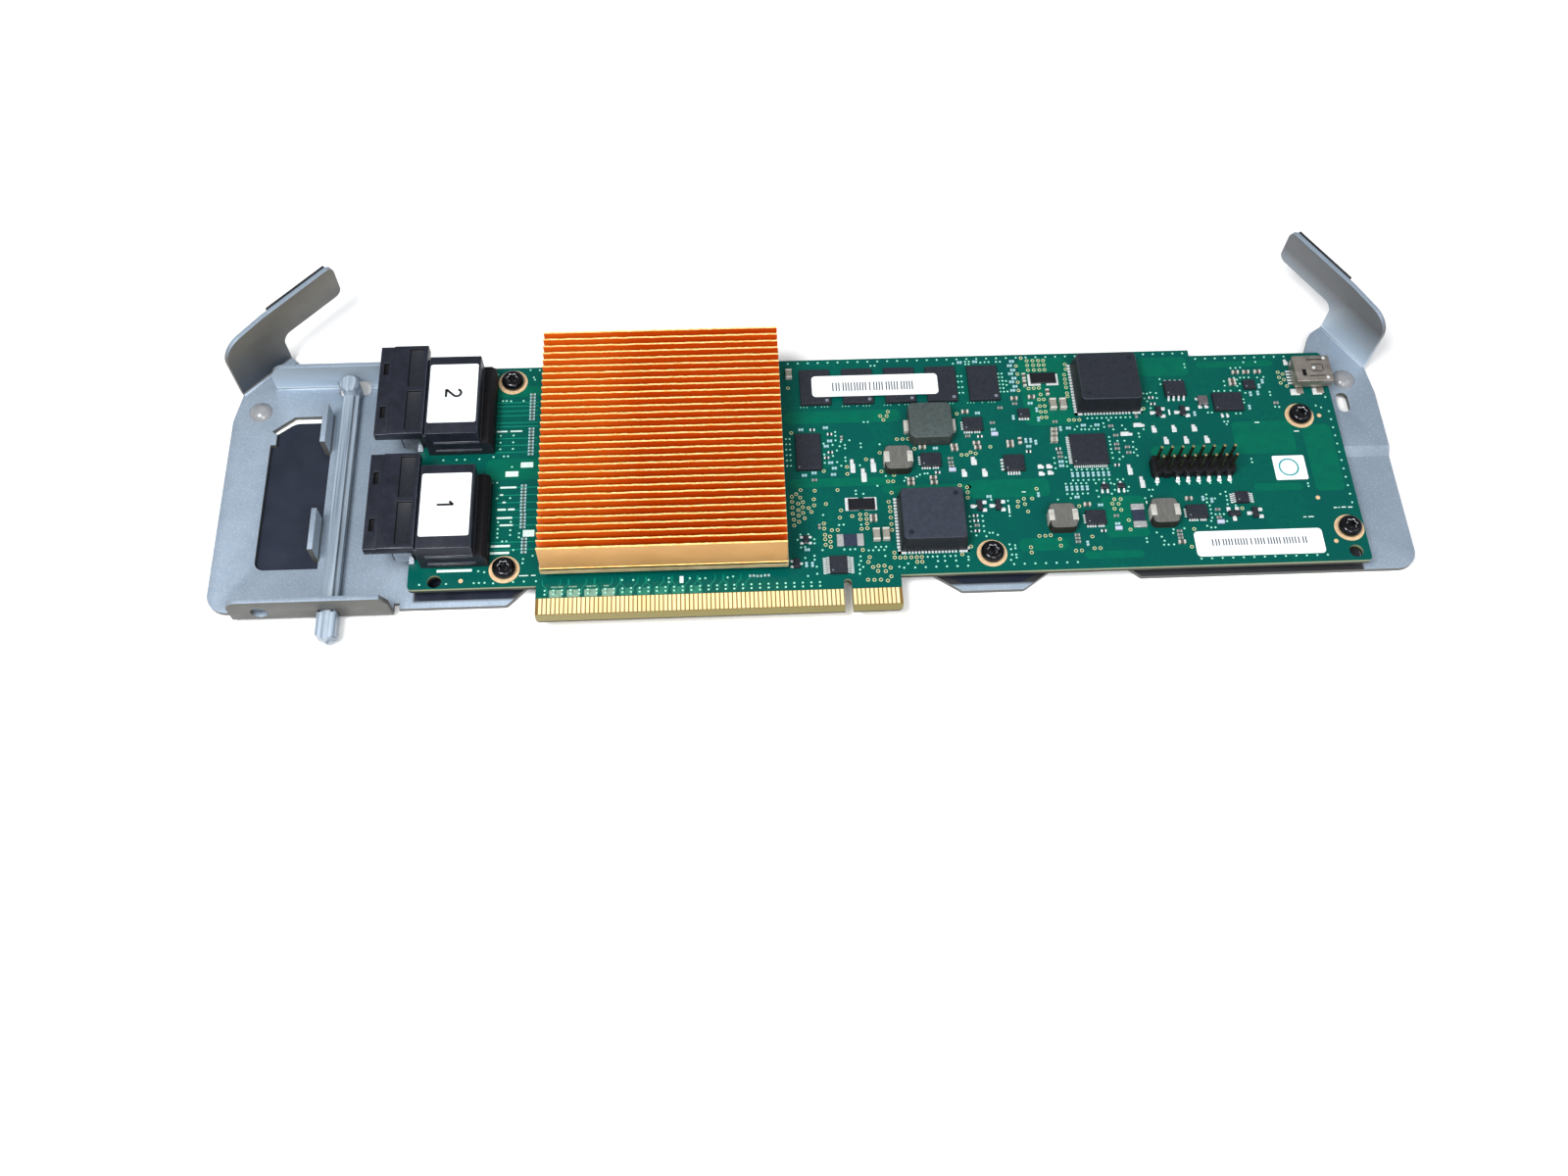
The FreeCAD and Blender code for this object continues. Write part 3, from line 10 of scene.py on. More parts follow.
import bmesh
import bpy
from mathutils import Euler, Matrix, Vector


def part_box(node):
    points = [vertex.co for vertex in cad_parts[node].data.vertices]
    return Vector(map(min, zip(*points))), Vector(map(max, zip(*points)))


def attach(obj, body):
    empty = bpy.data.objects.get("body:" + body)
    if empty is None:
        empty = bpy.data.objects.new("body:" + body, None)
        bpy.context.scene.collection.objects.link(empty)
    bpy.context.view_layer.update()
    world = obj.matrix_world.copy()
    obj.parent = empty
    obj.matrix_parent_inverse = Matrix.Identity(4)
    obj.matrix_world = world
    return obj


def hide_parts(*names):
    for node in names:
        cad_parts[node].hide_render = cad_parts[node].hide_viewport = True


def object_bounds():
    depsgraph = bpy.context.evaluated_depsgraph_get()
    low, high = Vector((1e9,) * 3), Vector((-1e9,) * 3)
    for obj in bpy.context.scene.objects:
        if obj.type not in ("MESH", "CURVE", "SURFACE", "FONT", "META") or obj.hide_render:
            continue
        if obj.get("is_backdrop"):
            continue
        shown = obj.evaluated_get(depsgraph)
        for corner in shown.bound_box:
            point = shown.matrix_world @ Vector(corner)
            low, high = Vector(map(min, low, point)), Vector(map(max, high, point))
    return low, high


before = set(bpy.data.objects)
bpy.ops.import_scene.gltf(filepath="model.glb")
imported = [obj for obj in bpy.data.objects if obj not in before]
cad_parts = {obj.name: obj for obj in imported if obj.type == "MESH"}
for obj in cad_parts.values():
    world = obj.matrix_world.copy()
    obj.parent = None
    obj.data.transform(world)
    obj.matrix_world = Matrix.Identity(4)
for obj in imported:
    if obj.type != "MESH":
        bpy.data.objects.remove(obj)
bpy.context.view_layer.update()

Point = tuple[float, float]
Place = tuple[float, float, float]
Area = tuple[float, float, float, float]
Rgb = tuple[int, int, int]
Socket = bpy.types.NodeSocket
Inputs = dict[str | int, Socket | float | Sequence[float]]

MM = 0.001
# Ranges of noise and of levelness that the finishes stretch to full contrast.
CLOUD_RANGE = (0.3, 0.7)
LEVEL_RANGE = (0.35, 0.9)
# Numbers of a colour mix node's factor, of its two colours and of its result.
MIX_INPUTS = (0, 6, 7)
MIX_RESULT = 2
# Smallest share that keeps the corners of an inset outline from running far out.
CORNER_SHARE = 0.2
log = logging.getLogger("controller_card")


class Side(Enum):
    """A side of an upright part, as a step along x and y."""

    LEFT = (-1, 0)
    RIGHT = (1, 0)
    FRONT = (0, -1)
    BACK = (0, 1)


def linear(colour: Rgb) -> Area:
    """Linear red, green and blue with full opacity, of a display colour from 0 to 255."""
    parts = [c / 255 for c in colour]
    return (*[p / 12.92 if p < 0.04045 else ((p + 0.055) / 1.055) ** 2.4 for p in parts], 1.0)


class NodeBook:
    """The node tree of one material, with short ways to add what the finishes need."""

    def __init__(self, name: str) -> None:
        """Starts a material with its shader.

        Args:
            name: Name of the material.
        """
        self.material = bpy.data.materials.new(name)
        self.material.use_nodes = True
        self.tree = self.material.node_tree
        self.shader = self.tree.nodes["Principled BSDF"]
        self.place = self.add("ShaderNodeTexCoord", {}).outputs["Object"]

    def fill(self, node: bpy.types.Node, inputs: Inputs) -> None:
        """Links or sets inputs of a node.

        Args:
            node: The node.
            inputs: A socket to link or a constant, by name or number of the input.
        """
        for key, value in inputs.items():
            if isinstance(value, Socket):
                self.tree.links.new(value, node.inputs[key])
            else:
                node.inputs[key].default_value = value

    def add(self, kind: str, inputs: Inputs) -> bpy.types.Node:
        """Adds a node and fills its inputs.

        Args:
            kind: Kind of the node.
            inputs: What its inputs get.

        Returns:
            The node.
        """
        node = self.tree.nodes.new(kind)
        self.fill(node, inputs)
        return node

    def noise(self, grain: float, stretch: Place = (1, 1, 1), detail: float = 3.0) -> Socket:
        """Soft solid noise.

        Args:
            grain: Size of its spots in millimetres.
            stretch: How much finer it is along x, y and z.
            detail: Number of finer layers.

        Returns:
            The noise from 0 to 1.
        """
        spot = self.add("ShaderNodeMapping", {"Vector": self.place, "Scale": stretch}).outputs["Vector"]
        inputs = {"Vector": spot, "Scale": 1 / (grain * MM), "Detail": detail}
        return self.add("ShaderNodeTexNoise", inputs).outputs["Fac"]

    def spread(self, value: Socket, low: float, high: float, new_low: float = 0,
               new_high: float = 1) -> Socket:
        """Maps the range from low to high onto a new range, held at its ends."""
        inputs = dict(enumerate((value, low, high, new_low, new_high)))
        return self.add("ShaderNodeMapRange", inputs).outputs["Result"]

    def mix(self, share: Socket, first: Rgb | Socket, second: Rgb | Socket) -> Socket:
        """Blends two colours.

        Args:
            share: How much of the second shows.
            first: A display colour or a colour socket.
            second: A display colour or a colour socket.

        Returns:
            The blended colour.
        """
        node = self.add("ShaderNodeMix", {})
        node.data_type = "RGBA"
        colours = (linear(c) if isinstance(c, tuple) else c for c in (first, second))
        self.fill(node, dict(zip(MIX_INPUTS, (share, *colours))))
        return node.outputs[MIX_RESULT]

    def along(self, vector: Socket, axis: str) -> Socket:
        """The part of a vector along X, Y or Z."""
        return self.add("ShaderNodeSeparateXYZ", {"Vector": vector}).outputs[axis]

    def fade(self, axis: str, start: float, end: float, first: Rgb | Socket, second: Rgb | Socket) -> Socket:
        """Blends from one colour to another between two places along an axis, in millimetres."""
        return self.mix(self.spread(self.along(self.place, axis), start * MM, end * MM), first, second)

    def rise(self) -> Socket:
        """How far the surface looks up: 1 on a face that looks up, -1 on one that looks down."""
        return self.along(self.add("ShaderNodeNewGeometry", {}).outputs["Normal"], "Z")

    def flatness(self) -> Socket:
        """How level the surface lies.

        Returns:
            1 on a level face, 0 on an upright one.
        """
        node = self.add("ShaderNodeMath", {0: self.rise()})
        node.operation = "ABSOLUTE"
        return node.outputs[0]


@dataclass(frozen=True)
class Finish:
    """A surface whose colour, gloss and grain drift with solid noise; grain and relief are in millimetres."""

    name: str
    colour: Rgb
    drift: Rgb
    grain: float = 6.0
    metal: float = 0.0
    rough: float = 0.5
    rough_drift: float = 0.08
    relief: float = 0.0
    relief_grain: float = 0.3
    stretch: Place = (1, 1, 1)
    coat: float = 0.0
    shine: float = 0.5
    # Colour of upright faces: a painted shade in every finish that sets it.
    upright: Rgb | None = None
    gloss_share: float = 0.4
    relief_detail: float = 2.0

    def cloud(self, book: NodeBook) -> Socket:
        """Share of the second colour."""
        return book.spread(book.noise(self.grain, self.stretch), *CLOUD_RANGE)

    def sides(self, book: NodeBook, face: Socket) -> Socket:
        """Gives upright faces their own colour, a painted shade, if the finish has one.

        Args:
            book: The material's node tree.
            face: Colour of level faces.

        Returns:
            The colour of all faces.
        """
        if self.upright is None:
            return face
        return book.mix(book.spread(book.flatness(), *LEVEL_RANGE), self.upright, face)

    def tint(self, book: NodeBook) -> Socket:
        """Colour of the surface."""
        return self.sides(book, book.mix(self.cloud(book), self.colour, self.drift))

    def extras(self) -> Inputs:
        """What only this kind of surface sets on the shader."""
        return {}

    def build(self) -> bpy.types.Material:
        """Makes the material.

        Returns:
            The finished material.
        """
        book = NodeBook(self.name)
        drift = book.noise(self.grain * self.gloss_share, self.stretch)
        rough = book.spread(drift, *CLOUD_RANGE, self.rough - self.rough_drift, self.rough + self.rough_drift)
        inputs = {"Base Color": self.tint(book), "Roughness": rough, "Metallic": self.metal,
                  "Coat Weight": self.coat, "Specular IOR Level": self.shine, **self.extras()}
        if self.relief:
            height = book.noise(self.relief_grain, self.stretch, self.relief_detail)
            bump = {"Height": height, "Strength": 1.0, "Distance": self.relief * MM}
            inputs["Normal"] = book.add("ShaderNodeBump", bump).outputs["Normal"]
        book.fill(book.shader, inputs)
        return book.material


@functools.cache
def material_of(finish: Finish) -> bpy.types.Material:
    """The one material of a finish, made when first asked for."""
    return finish.build()


@dataclass(frozen=True)
class Metal(Finish):
    """Bare or plated metal."""

    grain: float = 0.8
    metal: float = 0.8
    rough: float = 0.34
    relief: float = 0.003
    relief_grain: float = 0.2


@dataclass(frozen=True)
class Solder(Finish):
    """Tinned metal."""

    grain: float = 0.5
    metal: float = 0.5
    rough: float = 0.42
    rough_drift: float = 0.1
    relief: float = 0.006
    relief_grain: float = 0.25


@dataclass(frozen=True)
class Moulded(Finish):
    """Dull moulded plastic, epoxy or ferrite."""

    grain: float = 1.0
    relief: float = 0.006
    relief_grain: float = 0.25
    shine: float = 0.25


@dataclass(frozen=True)
class Ceramic(Finish):
    """Fired ceramic."""

    grain: float = 0.5
    rough: float = 0.42
    relief: float = 0.004
    relief_grain: float = 0.15


@dataclass(frozen=True)
class Ink(Finish):
    """A flat colour without relief."""

    grain: float = 0.5
    rough_drift: float = 0.06
    shine: float = 0.2


@dataclass(frozen=True)
class Masked(Finish):
    """Copper or laminate under solder mask."""

    grain: float = 0.8
    rough: float = 0.3
    rough_drift: float = 0.06
    relief: float = 0.004
    shine: float = 0.2


@dataclass(frozen=True)
class BoardMask(Masked):
    """The board: mask with copper under it in places, and bare laminate on the tab and the cut edges."""

    grain: float = 1.2
    relief_grain: float = 0.6
    coat: float = 0.02
    shine: float = 0.12
    edge: Rgb = (126, 134, 104)
    bevel: Rgb = (114, 106, 68)
    # Painted shadow on the lower part of the cut edges.
    shadow: Rgb = (34, 34, 26)
    bare: Rgb = (108, 84, 42)
    pour: Rgb = (0, 71, 65)
    pour_grain: float = 14.0
    pour_stretch: Place = (1, 1, 0.01)
    pour_range: Point = (0.46, 0.54)
    tab: Point = (-3.32, -3.24)
    edge_shadow_span: Point = (-0.942, -0.471)
    bevel_range: Point = (0.5, 0.9)
    face_range: Point = (0.965, 0.985)

    def tint(self, book: NodeBook) -> Socket:
        """Colour of the mask, which ends above the contacts; cut edges are pale above and dark below, the dark
        being painted shadow.

        Args:
            book: The material's node tree.

        Returns:
            The colour.
        """
        patch = book.spread(book.noise(self.pour_grain, self.pour_stretch, 1.0), *self.pour_range)
        mask = book.mix(self.cloud(book), book.mix(patch, self.colour, self.pour), self.drift)
        face = book.fade("Y", *self.tab, self.bare, mask)
        edge = book.fade("Y", *self.tab, self.bevel, self.edge)
        # Lower part of the cut edges in painted shadow.
        cut = book.fade("Z", *self.edge_shadow_span, self.shadow, edge)
        level = book.flatness()
        laminate = book.mix(book.spread(level, *self.bevel_range), cut, edge)
        return book.mix(book.spread(level, *self.face_range), laminate, face)


@dataclass(frozen=True)
class SheetSteel(Finish):
    """Plated sheet steel with a fine speckle, painted shade on upright faces and on the plate under the board,
    and painted light or shade towards the foot.
    """

    colour: Rgb = (133, 147, 162)
    drift: Rgb = (124, 138, 153)
    grain: float = 9.0
    metal: float = 0.4
    rough: float = 0.52
    rough_drift: float = 0.06
    relief: float = 0.004
    relief_grain: float = 0.5
    speck: Rgb = (158, 169, 180)
    speck_grain: float = 0.5
    speck_range: Area = (0.5, 0.75, 0.0, 0.5)
    # Colour that faces fade to towards the foot: painted shade in one copy, painted light in the other.
    foot: Rgb | None = None
    foot_span: Point = (-4.0, 10.0)
    # Painted shadow on the plate under the board, faded in and out at the board's edges.
    board_shadow: Rgb = (30, 32, 36)
    board_shadow_front: Point = (-1.3, -0.5)
    board_shadow_back: Point = (60.5, 61.5)
    board_shadow_right: Point = (124.1, 124.7)
    board_shadow_left: Point = (-102.1, -101.5)
    upward_range: Point = (0.5, 0.8)

    def tint(self, book: NodeBook) -> Socket:
        """Colour of the steel, with its painted shade and light.

        Args:
            book: The material's node tree.

        Returns:
            The colour.
        """
        dust = book.spread(book.noise(self.speck_grain, detail=1.0), *self.speck_range)
        face = book.mix(dust, book.mix(self.cloud(book), self.colour, self.drift), self.speck)
        face = self.sides(book, face)
        # Painted shadow on the plate under the board, faded in at its edges and kept to faces that look up.
        under = book.fade("Y", *self.board_shadow_front, face, self.board_shadow)
        under = book.fade("Y", *self.board_shadow_back, under, face)
        under = book.fade("X", *self.board_shadow_right, under, face)
        under = book.fade("X", *self.board_shadow_left, face, under)
        face = book.mix(book.spread(book.rise(), *self.upward_range), face, under)
        return book.fade("Z", *self.foot_span, self.foot, face) if self.foot else face


@dataclass(frozen=True)
class ClearPlastic(Finish):
    """Clear moulded plastic."""

    relief: float = 0.004
    relief_grain: float = 0.8
    clear: float = 0.35
    bend: float = 1.49

    def extras(self) -> Inputs:
        """Lets light through."""
        return {"Transmission Weight": self.clear, "IOR": self.bend}


@dataclass(frozen=True)
class FinCopper(Finish):
    """Copper fins, browner down in the gaps as painted shade and paler towards the left as a painted
    reflection.
    """

    grain: float = 2.5
    metal: float = 0.3
    rough: float = 0.45
    relief: float = 0.01
    relief_grain: float = 0.4
    stretch: Place = (0.08, 1, 1)
    shine: float = 0.3
    # Painted shade down in the gaps between the fins.
    root: Rgb = (164, 62, 2)
    gap_shade_span: Point = (11.3, 12.7)
    # Painted reflection: a paler band towards the left.
    pale: Rgb = (230, 100, 16)
    sheen_span: Point = (-57.0, -47.0)

    def tint(self, book: NodeBook) -> Socket:
        """Colour of the copper, with painted shade down in the gaps and a painted reflection at the left."""
        clean = book.fade("X", *self.sheen_span, self.pale, super().tint(book))
        return book.fade("Z", *self.gap_shade_span, self.root, clean)


class Shop(Enum):
    """Every finish on the card."""

    # Upright faces darker and warmer than the plate: painted shade.
    STEEL = SheetSteel("zinc_steel", upright=(88, 88, 85))
    # Shaded and lit copies of the steel for chosen upright faces: the shaded one darkens to a bluish foot,
    # painted shade; the lit one brightens towards its foot, painted light.
    STEEL_DIM = SheetSteel("shaded_steel", upright=(104, 102, 95), foot=(62, 69, 80))
    STEEL_LIT = SheetSteel("lit_steel", upright=(96, 98, 101), foot=(182, 198, 212))
    # Lighter rounded edges of the steel: wear, with a painted highlight along them.
    STEEL_RIM = Metal("worn_and_lit_steel_edge", (200, 206, 212), (160, 168, 178), 3.0, 0.8, 0.34, 0.08, 0.006, 0.5)
    CLIP = Metal("clip_steel", (160, 164, 170), (132, 136, 142), 3.0, 0.85, 0.32)
    SHELL = Metal("socket_steel", (172, 164, 156), (140, 132, 124), 2.0, relief=0.004)
    SCREW = Metal("black_screw", (44, 44, 48), (26, 26, 29), 1.2, 0.85, 0.17, 0.05, 0.004)
    # Painted highlight on the walls at the mouth of the screw recess.
    SCREW_WORN = Metal("recess_highlight", (222, 224, 228), (150, 152, 156), 0.5, 0.6, 0.25, 0.05, 0.004)
    GOLD = Metal("contact_gold", (232, 208, 148), (216, 188, 126), 5.0, 0.85, 0.32, 0.05, 0.001, 0.4)
    FINGER = Metal("finger_gold", (246, 228, 178), (232, 210, 154), 5.0, 0.35, 0.34, 0.05, 0.001, 0.4,
                   (1, 0.2, 1))
    PAD = Metal("pad_tan", (220, 190, 152), (200, 166, 126), metal=0.25, rough=0.4, relief=0.002)
    RING = Metal("via_tan", (206, 202, 160), (184, 184, 140), metal=0.1, rough=0.4, relief=0.002)
    CAN = Metal("crystal_can", (116, 112, 116), (96, 92, 97), metal=0.6, rough=0.36)
    # Dark olive pin sides: painted shade and reflection on the plating.
    PIN = Metal("pin_side_shade", (58, 58, 40), (38, 40, 28), metal=0.7)
    PIN_TIP = Metal("pin_tip", (146, 138, 98), (112, 106, 74), 0.6, 0.4, 0.45)
    TIN = Solder("solder_tin", (238, 242, 242), (214, 218, 220), 0.7, rough=0.32)
    DULL_TIN = Solder("dull_tin", (176, 178, 178), (150, 152, 154))
    CREAM_TIN = Solder("cream_end", (184, 184, 177), (160, 160, 153), metal=0.1)
    PALE_TIN = Solder("pale_end", (158, 196, 200), (138, 178, 184), metal=0.2)
    END_TIN = Solder("inductor_tin", (194, 193, 186), (166, 164, 157), 0.7, 0.3, 0.36, 0.08, 0.006, 0.3)
    COPPER = FinCopper("fin_copper", (222, 82, 5), (204, 66, 2))
    # Painted highlight along the fin crests and the bead at the front of the base.
    CREST = Finish("fin_crest_highlight", (255, 232, 158), (248, 184, 96), 0.9, 0.3, 0.36, 0.08, 0.006,
                   stretch=(0.6, 1, 1))
    FACE = Finish("front_fin_copper", (190, 148, 98), (176, 133, 83), 5.0, 0.5, 0.42, 0.06, 0.006,
                  stretch=(0.3, 1, 0.6))
    BASE = Finish("milled_base", (198, 180, 142), (164, 144, 108), 2.6, 0.4, 0.42, 0.1, 0.006, 0.25,
                  (0.5, 1, 1))
    MASK = BoardMask("board_mask", (0, 77, 66), (0, 70, 63))
    POUR = Masked("copper_under_mask", (0, 88, 68), (0, 80, 65), 3.0, relief_grain=0.6, coat=0.02, shine=0.12)
    TRACE = Masked("trace_under_mask", (14, 124, 100), (8, 114, 92), 2.0, relief=0.0, coat=0.04)
    GHOST = Masked("pad_under_mask", (116, 146, 130), (84, 126, 110))
    FAINT = Masked("faint_pad_under_mask", (34, 108, 90), (20, 96, 82))
    DOT = Masked("covered_via", (150, 208, 190), (122, 190, 170), 0.6, relief=0.0)
    # Painted shade: dark discs that stand for the open via holes.
    HOLE = Ink("via_hole_shade", (30, 62, 48), (18, 40, 32), 0.4, rough=0.6)
    # Painted shade, near black: pocket walls and slot floors of the ports, the housing's ledge and the socket's
    # slot openings.
    SLOT = Ink("slot_shade", (17, 17, 20), (11, 11, 13), 0.6, rough=0.6, shine=0.15)
    INK = Ink("label_ink", (20, 21, 25), (32, 33, 37))
    BAR_INK = Ink("bar_ink", (64, 68, 76), (90, 94, 102))
    TEAL_INK = Ink("teal_ink", (24, 136, 138), (16, 120, 126), 0.6)
    SILK = Ink("legend_white", (206, 222, 216), (172, 196, 188), shine=0.5)
    SPOT = Ink("ejector_mark", (30, 33, 41), (23, 26, 33), rough=0.4)
    MARK = Ink("moulded_mark", (112, 118, 130), (92, 98, 110), rough=0.56, shine=0.5)
    FILM = Moulded("black_film", (32, 37, 50), (25, 29, 40), 12.0, 0.0, 0.4, 0.1, 0.01, 3.0)
    RUBBER = Moulded("grip_rubber", (30, 31, 34), (20, 21, 23), 2.0, 0.0, 0.62, 0.08, 0.02, 0.35, shine=0.3)
    BLACK = Moulded("connector_black", (30, 33, 43), (21, 24, 32), 2.5, rough=0.42, shine=0.22)
    # Lighter, glossier rounded edges of the black plastic: wear, with a painted highlight along them.
    BLACK_RIM = Moulded("worn_and_lit_black_edge", (66, 70, 82), (40, 43, 52), 1.2, 0.0, 0.3, relief=0.004, shine=0.6)
    # Painted shade on the pocket floors of the port shrouds.
    RECESS = Moulded("recess_black", (23, 26, 35), (16, 18, 25), 0.8, rough=0.45, relief_grain=0.2, shine=0.4)
    HEADER = Moulded("header_black", (21, 21, 25), (14, 14, 18), 1.2, 0.0, 0.5, 0.08, 0.008, 0.2, shine=0.2)
    CHIP = Moulded("chip_epoxy", (35, 38, 46), (26, 29, 36), 0.7, rough=0.48, relief_grain=0.12)
    MODULE = Moulded("module_epoxy", (45, 51, 62), (37, 42, 52), relief=0.008, relief_grain=0.14)
    MODULE_SIDE = Moulded("module_side", (28, 30, 37), (21, 23, 29), 1.0, 0.0, 0.48, 0.08, 0.008, 0.14,
                          shine=0.22)
    # Upright sides of the inductors darker than their tops: painted shade.
    FERRITE = Moulded("ferrite_grey", (98, 98, 95), (81, 81, 78), 0.3, 0.1, 0.5, 0.1, 0.02,
                      stretch=(1, 0.12, 1), shine=0.3, upright=(36, 34, 30))
    COIL = Moulded("coil_grey", (68, 78, 77), (54, 63, 62), 0.7, 0.1, 0.46, 0.1, 0.02, shine=0.3,
                   upright=(56, 62, 60))
    # Light and dark streaks along the light pipe: painted reflections in the clear plastic.
    CLEAR = ClearPlastic("clear_plastic", (178, 192, 205), (92, 108, 124), 0.8, 0.0, 0.16, 0.04,
                         stretch=(1, 0.02, 0.5), clear=0.3, bend=1.35)
    DOME = ClearPlastic("bumper_plastic", (158, 160, 164), (138, 140, 144), 2.0, 0.0, 0.22, 0.05)
    PAPER = Finish("label_paper", (222, 227, 228), (212, 218, 220), 5.0, 0.0, 0.5, 0.06, 0.004, shine=0.3)
    THERMAL = Finish("thermal_pad", (142, 146, 150), (126, 130, 136), 2.0, 0.0, 0.7, 0.06, 0.01)
    FLOOR = Finish("pale_floor", (236, 236, 235), (230, 230, 230), 60.0, 0.0, 0.7, 0.05)
    RESISTOR = Ceramic("resistor_black", (24, 25, 30), (17, 18, 22), rough=0.36, shine=0.25)
    SLATE = Ceramic("resistor_slate", (42, 50, 68), (31, 38, 54), 0.6, rough=0.36, shine=0.3)
    TAN = Ceramic("capacitor_tan", (132, 130, 121), (114, 112, 103), 0.6, relief=0.006)
    PALE = Ceramic("pale_ceramic", (116, 162, 168), (92, 140, 148))
    VIOLET = Ceramic("violet_ceramic", (176, 184, 204), (154, 162, 184))
    GREY = Ceramic("grey_ceramic", (106, 112, 106), (80, 86, 80))
    BROWN = Ceramic("brown_ceramic", (82, 78, 72), (58, 55, 50))

    @property
    def material(self) -> bpy.types.Material:
        """The material of this finish."""
        return material_of(self.value)


def span(node: str) -> list[Vector]:
    """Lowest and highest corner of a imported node, in millimetres."""
    return [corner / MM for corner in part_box(node)]


def inset(outline: Sequence[Point], depth: float) -> list[Point]:
    """An outline moved inwards.

    Args:
        outline: Corners, anticlockwise.
        depth: How far each side moves.

    Returns:
        The moved corners.
    """
    moved = []
    for i, here in enumerate(outline):
        before = Vector(here) - Vector(outline[i - 1])
        after = Vector(outline[(i + 1) % len(outline)]) - Vector(here)
        first = Vector((-before.y, before.x)).normalized()
        second = Vector((-after.y, after.x)).normalized()
        share = max(1.0 + first.dot(second), CORNER_SHARE)
        step = (first + second) * (depth / share)
        moved.append((here[0] + step.x, here[1] + step.y))
    return moved


def rectangle(x0: float, y0: float, x1: float, y1: float, radius: float = 0.0, steps: int = 4) -> list[Point]:
    """Corners of an upright rectangle, rounded if a radius is given.

    Args:
        x0: Left edge.
        y0: Lower edge.
        x1: Right edge.
        y1: Upper edge.
        radius: Corner radius.
        steps: Straight pieces in each rounded corner.

    Returns:
        The corners, anticlockwise.
    """
    if radius <= 0:
        return [(x0, y0), (x1, y0), (x1, y1), (x0, y1)]
    points = []
    centres = ((x1 - radius, y0 + radius, -90), (x1 - radius, y1 - radius, 0),
               (x0 + radius, y1 - radius, 90), (x0 + radius, y0 + radius, 180))
    for cx, cy, start in centres:
        for i in range(steps + 1):
            turn = math.radians(start + 90 * i / steps)
            points.append((cx + radius * math.cos(turn), cy + radius * math.sin(turn)))
    return points


def circle(x: float, y: float, radius: float, steps: int) -> list[Point]:
    """Points round a circle, anticlockwise."""
    turns = [2 * math.pi * i / steps for i in range(steps)]
    return [(x + radius * math.cos(a), y + radius * math.sin(a)) for a in turns]


